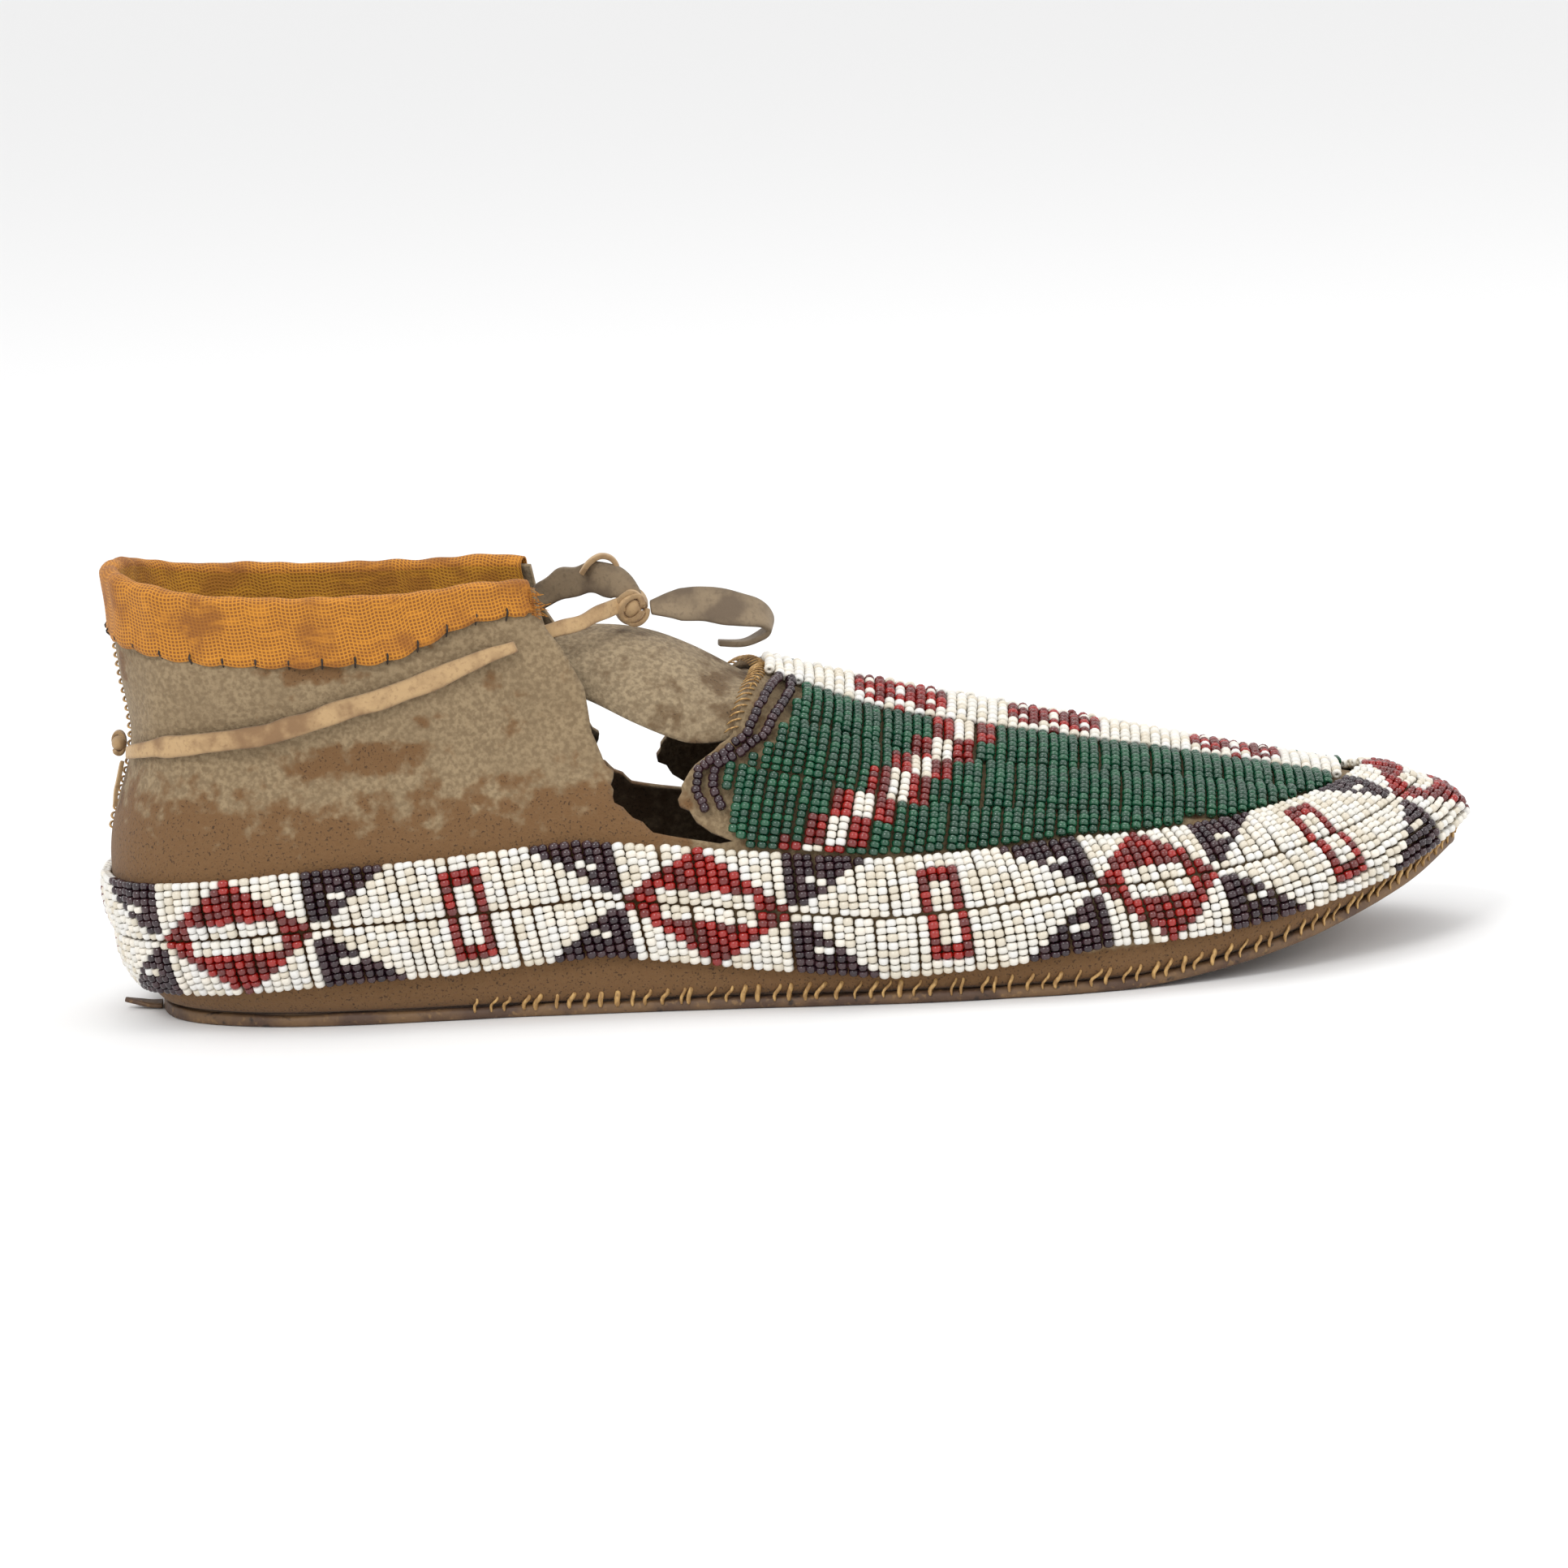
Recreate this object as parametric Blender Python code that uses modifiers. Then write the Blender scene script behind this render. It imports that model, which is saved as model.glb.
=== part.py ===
"""A beaded moccasin: rawhide sole, hide upper, tongue, cloth binding, tied thong and bead lanes.

Toe along +X, far side along +Y, up along +Z, with the sole's flat at z = 0.
Every length below is in millimetres until it becomes a mesh.
"""
import math

import bpy
import numpy as np

MILLIMETRE = 0.001
NEAR = -1
FAR = 1
SIDES = (NEAR, FAR)

# The sole seam in plan, from the middle of the heel to the tip of the toe.
OUTLINE = {
    NEAR: ((-117.5, 0), (-114, -13), (-102, -22), (-84, -26.5), (-50, -28.5), (-15, -32.5),
           (25, -38), (58, -37.5), (89, -30.5), (112, -15), (124.5, 2), (127, 9)),
    FAR: ((-117.5, 0), (-114, 13), (-102, 22), (-84, 26), (-50, 27), (-15, 30.5),
          (25, 35), (58, 37.5), (89, 36.5), (112, 28.5), (124.5, 16.5), (127, 9)),
}
# The upper's top line: share of the seam's length, x, half width, z.
RIM = ((0.00, -124.5, 0, 83), (0.05, -121, 13.5, 82), (0.11, -110, 22, 79.5),
       (0.18, -93, 25, 78), (0.26, -73, 24, 77.5), (0.33, -55, 20, 78),
       (0.38, -41, 15, 77), (0.44, -22, 8, 69.5), (0.50, -3, 1.5, 59))
# The ridge of the vamp: share of the seam's length, x, y, z.
RIDGE = ((0.50, -3, -3, 59), (0.60, 17, -2, 53.5), (0.70, 39, 0, 47.7), (0.80, 62, 3, 41.7),
         (0.90, 83, 6.5, 36), (1.00, 101, 9, 31.5))
THROAT = 0.50
# How far the vamp's arch is drawn up into a crest along its ridge.
CREST = 0.45

SOLE_THICKNESS = 2.2
SOLE_MARGIN = 1.5
TOE_SPRING = 15.5
TOE_SPRING_START = 57.0
TOE_TIP = 127.0
TOE_TIP_Y = 9.0
SEAM_HEIGHT = 2.6

HIDE = 1.3
GAP = 0.35

# The notch beside the tongue: height share, then share of the seam's length, for its two edges.
QUARTER_EDGE = ((0.312, 0.434), (0.338, 0.415), (0.359, 0.403), (0.431, 0.382), (0.534, 0.38),
                (0.628, 0.376), (0.741, 0.379), (0.845, 0.372), (0.897, 0.366), (1, 0.366))
THROAT_EDGE = ((0.312, 0.442), (0.348, 0.427), (0.379, 0.42), (0.431, 0.417), (0.483, 0.421),
               (0.514, 0.438), (0.56, 0.453), (0.679, 0.468), (0.845, 0.487), (1, 0.5))
NOTCH_BOTTOM = 0.312

BEAD_GAP = 0.6
BEAD_HEIGHT = 1.8
LANE_WIDTH = 10.6
RIDGE_CLEARANCE = 0.25
# Height of the border's lower edge above the seam, along the seam's length.
BORDER_START = ((0.0, 6.2), (0.10, 7.0), (0.24, 8.2), (0.35, 10.0), (0.44, 6.2), (0.53, 3.6),
                (0.60, 4.5), (0.68, 7.0), (0.76, 5.6), (0.88, 3.8), (1.0, 3.6))
# The vamp's lanes, by their lengths down each side from the ridge. The middle one crosses it.
CENTRE_LANE = {NEAR: 8.6, FAR: 1.8}
VAMP_LANES = {NEAR: ((8.9, 19.4), (19.7, 31.0), (31.3, 60.0)),
              FAR: ((2.1, 12.6), (12.9, 24.2), (24.5, 60.0))}

# Where the thong goes through the hide: share of the seam's length, height share.
HEEL_SLIT = (0.030, 0.594)
FRONT_SLIT = (0.340, 0.861)
LACE_WAY = ((0.05, 0.615), (0.078, 0.641), (0.11, 0.664), (0.158, 0.694),
            (0.212, 0.747), (0.253, 0.78), (0.295, 0.821), (0.321, 0.846))
LACE_WIDTH = 4.0
LACE_THICKNESS = 1.2
STRAP_WIDTH = 6.6

HIDE_COLOUR = (0.42, 0.33, 0.22)
SOLE_COLOUR = (0.13, 0.08, 0.045)
CLOTH_COLOUR = (0.68, 0.27, 0.03)
THONG_COLOUR = (0.55, 0.38, 0.20)
SINEW_COLOUR = (0.60, 0.42, 0.17)
THREAD_COLOUR = (0.06, 0.04, 0.03)
WHITE_BEAD = (0.82, 0.78, 0.70)
GREEN_BEAD = (0.01, 0.16, 0.07)
PURPLE_BEAD = (0.06, 0.025, 0.035)


# ---------------------------------------------------------------- curves and the hide's surface

def smooth_path(points, count):
    """Evenly numbered points on a Catmull-Rom curve through the given points."""
    given = np.asarray(points, float)
    padded = np.vstack([2 * given[0] - given[1], given, 2 * given[-1] - given[-2]])
    places = np.linspace(0, len(given) - 1, count)
    first = np.minimum(places.astype(int), len(given) - 2)
    part = (places - first)[:, None]
    a, b, c, d = (padded[first + k] for k in range(4))
    return 0.5 * (2 * b + (c - a) * part + (2 * a - 5 * b + 4 * c - d) * part ** 2
                  + (3 * b - a - 3 * c + d) * part ** 3)


def lengths_along(points):
    return np.r_[0, np.cumsum(np.linalg.norm(np.diff(points, axis=0), axis=1))]


def ease(low, high, value):
    share = np.clip((value - low) / (high - low), 0, 1)
    return share * share * (3 - 2 * share)


def outline_table(side):
    """The seam's plan curve, square to the shoe's length at both of its ends."""
    given = np.asarray(OUTLINE[side], float)
    before = given[1] * (1, -1)
    after = np.array([given[-2][0], 2 * given[-1][1] - given[-2][1]])
    count = 150 * (len(given) + 1) + 1
    dense = smooth_path(np.vstack([before, given, after]), count)[150:-150]
    along = lengths_along(dense)
    return along / along[-1], dense


OUTLINE_TABLE = {side: outline_table(side) for side in SIDES}
RIM_TABLE = smooth_path(((-0.05, -122.5, -12.5, 82.5),) + RIM, 1200)
RIDGE_TABLE = smooth_path(RIDGE, 600)


def folded(along):
    """Shares just past the heel or the toe come back along the same side."""
    return 1 - np.abs(1 - np.abs(along))


def mirrored(along, y):
    """Past the heel or the toe the shape goes on as its own mirror image."""
    return np.where(along < 0, -y, np.where(along > 1, 2 * TOE_TIP_Y - y, y))


def outline(side, along):
    shares, points = OUTLINE_TABLE[side]
    x = np.interp(folded(along), shares, points[:, 0])
    return x, mirrored(along, np.interp(folded(along), shares, points[:, 1]))


def toe_lift(x):
    share = np.clip((x - TOE_SPRING_START) / (TOE_TIP - TOE_SPRING_START), 0, 1)
    return TOE_SPRING * share ** 1.6


def top_line(side, along):
    share = folded(along)
    rim = [np.interp(share, RIM_TABLE[:, 0], RIM_TABLE[:, k]) for k in (1, 2, 3)]
    ridge = [np.interp(share, RIDGE_TABLE[:, 0], RIDGE_TABLE[:, k]) for k in (1, 2, 3)]
    closing = ease(0.40, THROAT, share)
    rim_y = side * (rim[1] - 1.5 * closing) - 3 * closing
    behind = share < THROAT
    y = mirrored(along, np.where(behind, rim_y, ridge[1]))
    return np.where(behind, rim[0], ridge[0]), y, np.where(behind, rim[2], ridge[2])


def skin(side, along, up):
    """A point of the hide's outer face, by share along the seam and share up the wall."""
    along = np.asarray(along, float)
    up = np.asarray(up, float)
    base_x, base_y = outline(side, along)
    base_z = SEAM_HEIGHT + toe_lift(base_x)
    top_x, top_y, top_z = top_line(side, along)
    ahead_x, ahead_y = outline(side, along + 0.001)
    behind_x, behind_y = outline(side, along - 0.001)
    step_x, step_y = ahead_x - behind_x, ahead_y - behind_y
    step = np.hypot(step_x, step_y) + 1e-9
    out_x, out_y = -side * step_y / step, side * step_x / step
    share = folded(along)
    vamp = ease(0.34, 0.52, share)
    squareness = 2.2 + 0.8 * ease(0.55, 0.9, share)
    angle = up * math.pi / 2
    arch_in = np.where(up >= 1, 1, 1 - np.abs(np.cos(angle)) ** (2 / squareness))
    arch_up = np.abs(np.sin(angle)) ** (2 / squareness)
    inward = up * (1 - vamp) + arch_in * vamp
    crest = CREST * ease(0.46, 0.62, share)
    upward = up * (1 - vamp) + (arch_up * (1 - crest) + arch_in * crest) * vamp
    heel = 1 - ease(0.04, 0.20, share)
    bulge = (5 + 2.5 * heel) * (1 - vamp) + 3.0 * vamp
    swell = np.sqrt(1 - (1 - np.clip(upward / 0.30, 0, 1)) ** 2) * (1 - ease(0.30, 0.95, upward))
    waist = -(3.0 + 1.0 * heel) * np.exp(-((upward - 0.60) / 0.16) ** 2) * (1 - vamp)
    out = bulge * swell + waist
    return np.stack([base_x + inward * (top_x - base_x) + out * out_x,
                     base_y + inward * (top_y - base_y) + out * out_y,
                     base_z + upward * (top_z - base_z)], -1)


def skin_normal(side, along, up):
    low_up, high_up = np.clip(up - 0.004, 0, 1), np.clip(up + 0.004, 0, 1)
    forward = skin(side, along + 0.002, up) - skin(side, along - 0.002, up)
    upward = skin(side, along, high_up) - skin(side, along, low_up)
    normal = -side * np.cross(forward, upward)
    return normal / np.linalg.norm(normal, axis=-1, keepdims=True)


def off_skin(side, along, up, height):
    """A point at a height above the hide's outer face; a negative height lies inside."""
    along, up = np.broadcast_arrays(np.asarray(along, float), np.asarray(up, float))
    return skin(side, along, up) + skin_normal(side, along, up) * np.asarray(height)[..., None]


UP_GRID = np.linspace(0, 1, 81)
ALONG_GRID = np.linspace(0, 1, 201)


def wall_table(side):
    """Points of the whole wall and their lengths up from the seam."""
    points = skin(side, ALONG_GRID[None, :], UP_GRID[:, None])
    steps = np.linalg.norm(np.diff(points, axis=0), axis=2)
    return points, np.vstack([np.zeros(len(ALONG_GRID)), np.cumsum(steps, axis=0)])


WALL_TABLE = {side: wall_table(side) for side in SIDES}


def height_share(side, along, length):
    """The share up the wall that lies a given length above the seam."""
    lengths = WALL_TABLE[side][1]
    column = [np.interp(along, ALONG_GRID, row) for row in lengths]
    return float(np.interp(length, column, UP_GRID))


def wall_length(side, along, up):
    lengths = WALL_TABLE[side][1]
    column = [np.interp(along, ALONG_GRID, row) for row in lengths]
    return float(np.interp(up, UP_GRID, column))


def border_start(along):
    places, starts = zip(*BORDER_START)
    return float(np.interp(along, places, starts))


def cross_cut(side, x):
    """The hide's cross-section at x, from the ridge down: shares along and up, and lengths."""
    points = WALL_TABLE[side][0]
    alongs, ups = [], []
    tip_column = points[:, -1, 0]
    if x > tip_column[-1]:
        alongs.append(1.0)
        ups.append(float(np.interp(-x, -tip_column, UP_GRID)))
    for up, row in zip(UP_GRID[::-1], points[::-1, :, 0]):
        if row[0] < x <= row[-1]:
            alongs.append(float(np.interp(x, row, ALONG_GRID)))
            ups.append(float(up))
    alongs, ups = np.array(alongs), np.array(ups)
    return alongs, ups, lengths_along(skin(side, alongs, ups))


def border_limit(side, alongs, ups, lengths):
    """The length down a cross-section at which the border's top edge is met."""
    above = np.array([wall_length(side, a, u) - border_start(a) for a, u in zip(alongs, ups)])
    return float(np.interp(2 * LANE_WIDTH + 0.6, above[::-1], lengths[::-1]))


def edge_at(edge, up):
    ups, alongs = zip(*edge)
    return np.interp(up, ups, alongs)


# ---------------------------------------------------------------- meshes

def clear_scene():
    for thing in list(bpy.data.objects):
        bpy.data.objects.remove(thing)


def make_collection(name):
    collection = bpy.data.collections.new(name)
    bpy.context.scene.collection.children.link(collection)
    return collection


def make_material(name, colour, roughness):
    material = bpy.data.materials.new(name)
    material.use_nodes = True
    shader = material.node_tree.nodes["Principled BSDF"]
    shader.inputs["Base Color"].default_value = (*colour, 1)
    shader.inputs["Roughness"].default_value = roughness
    return material


def add_mesh(name, points, faces, colour, roughness=0.8, origin=(0, 0, 0), smooth=True):
    """One closed piece from points in millimetres, with its origin where it turns."""
    origin = np.asarray(origin, float)
    mesh = bpy.data.meshes.new(name)
    moved = (np.asarray(points, float) - origin) * MILLIMETRE
    mesh.from_pydata(moved.tolist(), [], faces)
    mesh.polygons.foreach_set("use_smooth", [smooth] * len(mesh.polygons))
    mesh.materials.append(make_material(name, colour, roughness))
    mesh.update()
    piece = bpy.data.objects.new(name, mesh)
    piece.location = origin * MILLIMETRE
    PARTS.objects.link(piece)
    return piece


def ring_faces(sections, around, closed):
    """Quads between neighbouring sections, with flat ends on an open run."""
    faces = []
    for k in range(sections if closed else sections - 1):
        here, there = k * around, (k + 1) % sections * around
        for i in range(around):
            j = (i + 1) % around
            faces.append((here + i, here + j, there + j, there + i))
    if not closed:
        faces.append(tuple(reversed(range(around))))
        faces.append(tuple(range((sections - 1) * around, sections * around)))
    return faces


def volume_sign(points, faces):
    """Positive when the faces look outward."""
    points = np.asarray(points, float)
    total = 0.0
    for face in faces:
        corner = points[face[0]]
        for i in range(1, len(face) - 1):
            total += np.dot(corner, np.cross(points[face[i]], points[face[i + 1]]))
    return total


def loft(name, sections, colour, closed=False, **more):
    sections = np.asarray(sections, float)
    points = sections.reshape(-1, 3)
    faces = ring_faces(len(sections), sections.shape[1], closed)
    if volume_sign(points - points.mean(axis=0), faces) < 0:
        faces = [tuple(reversed(face)) for face in faces]
    return add_mesh(name, points, faces, colour, **more)


def ribbon(name, path, widths, width, thickness, colour, **more):
    """A flat strip along a path, with its width direction given at each point."""
    path = np.asarray(path, float)
    across = np.asarray(widths, float)
    steps = np.diff(path, axis=0)
    steps /= np.linalg.norm(steps, axis=1)[:, None]
    tangents = np.vstack([steps[:1], steps[1:] + steps[:-1], steps[-1:]])
    tangents /= np.linalg.norm(tangents, axis=1)[:, None]
    across = across - tangents * np.sum(across * tangents, axis=1)[:, None]
    across /= np.linalg.norm(across, axis=1)[:, None]
    face_way = np.cross(tangents, across)
    width = np.broadcast_to(width, len(path))
    half_width = across * (width / 2)[:, None]
    half_thick = face_way * (thickness / 2)
    sections = np.stack([path - half_width - half_thick, path + half_width - half_thick,
                         path + half_width + half_thick, path - half_width + half_thick], axis=1)
    return loft(name, sections, colour, **more)


def tube(name, path, radius, colour, sides=4, closed=False, **more):
    path = np.asarray(path, float)
    if closed:
        tangents = np.roll(path, -1, axis=0) - np.roll(path, 1, axis=0)
    else:
        tangents = np.gradient(path, axis=0)
    tangents /= np.linalg.norm(tangents, axis=1)[:, None]
    first = np.cross(tangents, (0, 0, 1))
    flat = np.linalg.norm(first, axis=1) < 0.2
    first[flat] = np.cross(tangents[flat], (1, 0, 0))
    first /= np.linalg.norm(first, axis=1)[:, None]
    for k in range(1, len(first)):
        carried = first[k - 1] - tangents[k] * np.dot(first[k - 1], tangents[k])
        first[k] = carried / np.linalg.norm(carried)
    second = np.cross(tangents, first)
    spins = np.zeros(len(path))
    if closed:
        turn = math.atan2(np.dot(first[0], second[-1]), np.dot(first[0], first[-1]))
        spins = turn * np.arange(len(path)) / len(path)
    edges = []
    for number in range(sides):
        angles = 2 * math.pi * number / sides + spins
        edges.append(path + radius * (np.cos(angles)[:, None] * first
                                      + np.sin(angles)[:, None] * second))
    sections = np.stack(edges, axis=1)
    return loft(name, sections, colour, closed=closed, **more)


# ---------------------------------------------------------------- sole and upper

def build_sole():
    """A flat rawhide slab with toe spring, a little wider than the seam."""
    count = 44
    shares = np.linspace(0, 1, count + 1)
    rims = {}
    for side in SIDES:
        ahead = np.stack(outline(side, shares + 0.001), -1)
        behind = np.stack(outline(side, shares - 0.001), -1)
        step = ahead - behind
        away = np.stack([-side * step[:, 1], side * step[:, 0]], -1)
        away /= np.linalg.norm(away, axis=1)[:, None]
        rims[side] = np.stack(outline(side, shares), -1) + SOLE_MARGIN * away
    ring = np.vstack([rims[NEAR], rims[FAR][-2:0:-1]])
    lift = toe_lift(ring[:, 0])
    bottom = np.column_stack([ring, lift])
    top = np.column_stack([ring, lift + SOLE_THICKNESS])
    size = len(ring)
    faces = []
    for i in range(size):
        j = (i + 1) % size
        faces.append((i, j, size + j, size + i))
    for i in range(count):
        a, b = i, i + 1
        c, d = (size - b) % size, (size - a) % size
        low = [a, b, c, d] if a and b != count else [p for p in dict.fromkeys((a, b, c, d))]
        faces.append(tuple(reversed(low)))
        faces.append(tuple(size + p for p in low))
    add_mesh("sole", np.vstack([bottom, top]), faces, SOLE_COLOUR, smooth=False)


class Columns:
    """Columns of a patch of hide between two edges, at given shares of the way across."""

    def __init__(self, start, end, spread):
        self.start = start
        self.end = end
        self.spread = spread
        self.count = len(spread) - 1

    def __call__(self, number, up):
        low, high = self.start(up), self.end(up)
        return low + (high - low) * self.spread[number]


def build_upper():
    """The hide: one sheet round the heel, along the sides and over the toe, with two notches."""
    behind = np.linspace(0, 1, 19) ** 1.3
    even = np.linspace(0, 1, 19)
    ahead = (even + (1 - np.cos(math.pi * even)) / 2) / 2
    rows_low, rows_high = 7, 10
    points, faces, index = [], [], {}

    def place(side, along, up):
        key = tuple(np.round(skin(side, along, up), 3))
        if key not in index:
            index[key] = len(points)
            points.append(key)
        return index[key]

    def patch(side, alongs, ups):
        grid = [[place(side, alongs(k, up), up) for k in range(alongs.count + 1)] for up in ups]
        for lower, upper in zip(grid[:-1], grid[1:]):
            for k in range(alongs.count):
                corners = [lower[k], lower[k + 1], upper[k + 1], upper[k]]
                corners = list(dict.fromkeys(corners))
                if len(corners) > 2:
                    faces.append(tuple(corners if side == NEAR else reversed(corners)))

    low_ups = NOTCH_BOTTOM * np.linspace(0, 1, rows_low + 1) ** 1.15
    high_ups = np.linspace(NOTCH_BOTTOM, 1, rows_high + 1)

    def quarter(up):
        return edge_at(QUARTER_EDGE, up)

    def throat(up):
        return edge_at(THROAT_EDGE, up)

    rear = Columns(lambda up: 0.0, quarter, behind)
    bridge = Columns(quarter, throat, (0, 1))
    front = Columns(throat, lambda up: 1.0, ahead)
    for side in SIDES:
        patch(side, rear, low_ups)
        patch(side, bridge, low_ups)
        patch(side, front, low_ups)
        patch(side, rear, high_ups)
        patch(side, front, high_ups)
    upper = add_mesh("upper", points, faces, HIDE_COLOUR, roughness=0.95)
    wall = upper.modifiers.new("hide", "SOLIDIFY")
    wall.thickness = HIDE * MILLIMETRE
    wall.offset = -1
    for side in SIDES:
        for along, up in (HEEL_SLIT, FRONT_SLIT):
            cut_slit(upper, side, along, up)


def lace_frame(side, along, up):
    """The thong's way along the hide, and the hide's normal, at one place."""
    way = skin(side, along + 0.004, up + 0.005) - skin(side, along - 0.004, up - 0.005)
    normal = skin_normal(side, along, up)
    way = way - normal * np.dot(way, normal)
    way /= np.linalg.norm(way)
    return way, normal, np.cross(normal, way)


def cut_slit(upper, side, along, up):
    """A slit across the thong's way, a little larger than the thong."""
    way, normal, across = lace_frame(side, along, up)
    middle = skin(side, along, up) - normal * HIDE / 2
    half = (LACE_THICKNESS / 2 + 0.5, HIDE / 2 + 2.0, LACE_WIDTH / 2 + 0.5)
    corners = []
    for a in (-1, 1):
        for b in (-1, 1):
            for c in (-1, 1):
                corners.append(middle + way * half[0] * a + normal * half[1] * b
                               + across * half[2] * c)
    faces = [(0, 1, 3, 2), (4, 6, 7, 5), (0, 4, 5, 1), (2, 3, 7, 6), (0, 2, 6, 4), (1, 5, 7, 3)]
    if volume_sign(np.array(corners) - middle, faces) < 0:
        faces = [tuple(reversed(face)) for face in faces]
    mesh = bpy.data.meshes.new("slit_cutter")
    mesh.from_pydata((np.array(corners) * MILLIMETRE).tolist(), [], faces)
    cutter = bpy.data.objects.new("slit_cutter", mesh)
    cutter.hide_render = True
    cutter.display_type = "WIRE"
    CUTTERS.objects.link(cutter)
    cut = upper.modifiers.new("slit", "BOOLEAN")
    cut.operation = "DIFFERENCE"
    cut.solver = "EXACT"
    cut.object = cutter


# ---------------------------------------------------------------- tongue, binding and threads

TONGUE_THICKNESS = 1.2
TONGUE_RIDGE = ((-4, -3, 56), (-8, -2.5, 58.7), (-16, -2, 63.4), (-24, -1, 66.7), (-32, 0, 68),
                (-42, 0, 68))
TONGUE_EDGE = ((-12, 22.0, 46.4), (-20, 20.5, 48.4), (-28, 19, 51.9), (-36, 15.0, 55.9),
               (-42, 12.5, 57.9))
TONGUE_FAR_SHARE = 0.80
TONGUE_PIVOT = (-4, -3, 55.5)


def tongue_point(across, along):
    """The tongue's upper face: across -1 to 1, along 0 at the throat to 1 at its free end."""
    side = NEAR if across < 0 else FAR
    ridge = smooth_path(TONGUE_RIDGE, 101)[round(along * 100)]
    edge = smooth_path(TONGUE_EDGE, 101)[round(along * 100)]
    edge = edge * (1, side if side == NEAR else TONGUE_FAR_SHARE, 1)
    angle = abs(across) * math.pi / 2
    free = np.array([ridge[0] + (edge[0] - ridge[0]) * abs(across),
                     ridge[1] + (edge[1] - ridge[1]) * math.sin(angle),
                     edge[2] + (ridge[2] - edge[2]) * math.cos(angle)])
    up = 1 - 0.43 * abs(across)
    root = off_skin(side, edge_at(THROAT_EDGE, up), up, -(HIDE + 0.9))
    sewn = 1 - ease(0.0, 0.22, along)
    return root * sewn + free * (1 - sewn)


def build_tongue():
    across = np.linspace(-1, 1, 15)
    along = np.linspace(0, 1, 11)
    top = np.array([[tongue_point(a, b) for a in across] for b in along])
    down_along = np.gradient(top, axis=0)
    down_across = np.gradient(top, axis=1)
    normal = np.cross(down_across, down_along)
    normal /= np.linalg.norm(normal, axis=2)[:, :, None]
    normal *= np.sign(normal[:, :, 2:3].mean())
    low = top - normal * TONGUE_THICKNESS
    sections = np.concatenate([top, low[:, ::-1]], axis=1)
    loft("tongue", sections, HIDE_COLOUR, roughness=0.95, origin=TONGUE_PIVOT)


BINDING_END = 0.362
CLOTH = 0.9


def binding_depth(along, deep):
    """The cloth turns down less towards its front ends."""
    return deep - (deep - 5.2) * float(ease(0.24, 0.33, along))


def rim_stations(count):
    """Places round the ankle, from the near front end round the heel to the far one."""
    shares = np.linspace(-BINDING_END, BINDING_END, count)
    return [(NEAR if share < 0 else FAR, abs(share)) for share in shares]


def build_binding():
    """A strip of cloth folded over the ankle's edge."""
    outer, inner = GAP, -(HIDE + GAP)
    sections = []
    for side, along in rim_stations(45):
        wall = wall_length(side, along, 1.0)
        outer_low = height_share(side, along, wall - binding_depth(along, 11.0))
        inner_low = height_share(side, along, wall - binding_depth(along, 9.0))
        normal = skin_normal(side, along, 0.97)
        rim = skin(side, along, 1.0)
        middle_out = (outer_low + 1) / 2
        middle_in = (inner_low + 1) / 2
        lift = np.array([0, 0, GAP])
        sections.append([
            off_skin(side, along, outer_low, outer), off_skin(side, along, middle_out, outer),
            rim + normal * outer + lift,
            rim + normal * inner + lift,
            off_skin(side, along, middle_in, inner), off_skin(side, along, inner_low, inner),
            off_skin(side, along, inner_low, inner - CLOTH),
            off_skin(side, along, middle_in, inner - CLOTH),
            rim + normal * (inner - CLOTH) + lift + (0, 0, CLOTH * 0.6),
            rim + normal * (inner + outer) / 2 + lift + (0, 0, CLOTH * 1.3),
            rim + normal * (outer + CLOTH) + lift + (0, 0, CLOTH * 0.6),
            off_skin(side, along, middle_out, outer + CLOTH),
            off_skin(side, along, outer_low, outer + CLOTH),
        ])
    loft("ankle_binding", sections, CLOTH_COLOUR, roughness=0.95)


def around_points(count, place):
    """Places all round the shoe, near side from heel to toe, then far side back again."""
    even = np.linspace(0, 1, count)
    shares = (even + (1 - np.cos(math.pi * even)) / 2) / 2
    near = [place(NEAR, share, k) for k, share in enumerate(shares)]
    far = [place(FAR, share, k + 1) for k, share in enumerate(shares[-2:0:-1])]
    return near + far


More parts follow.
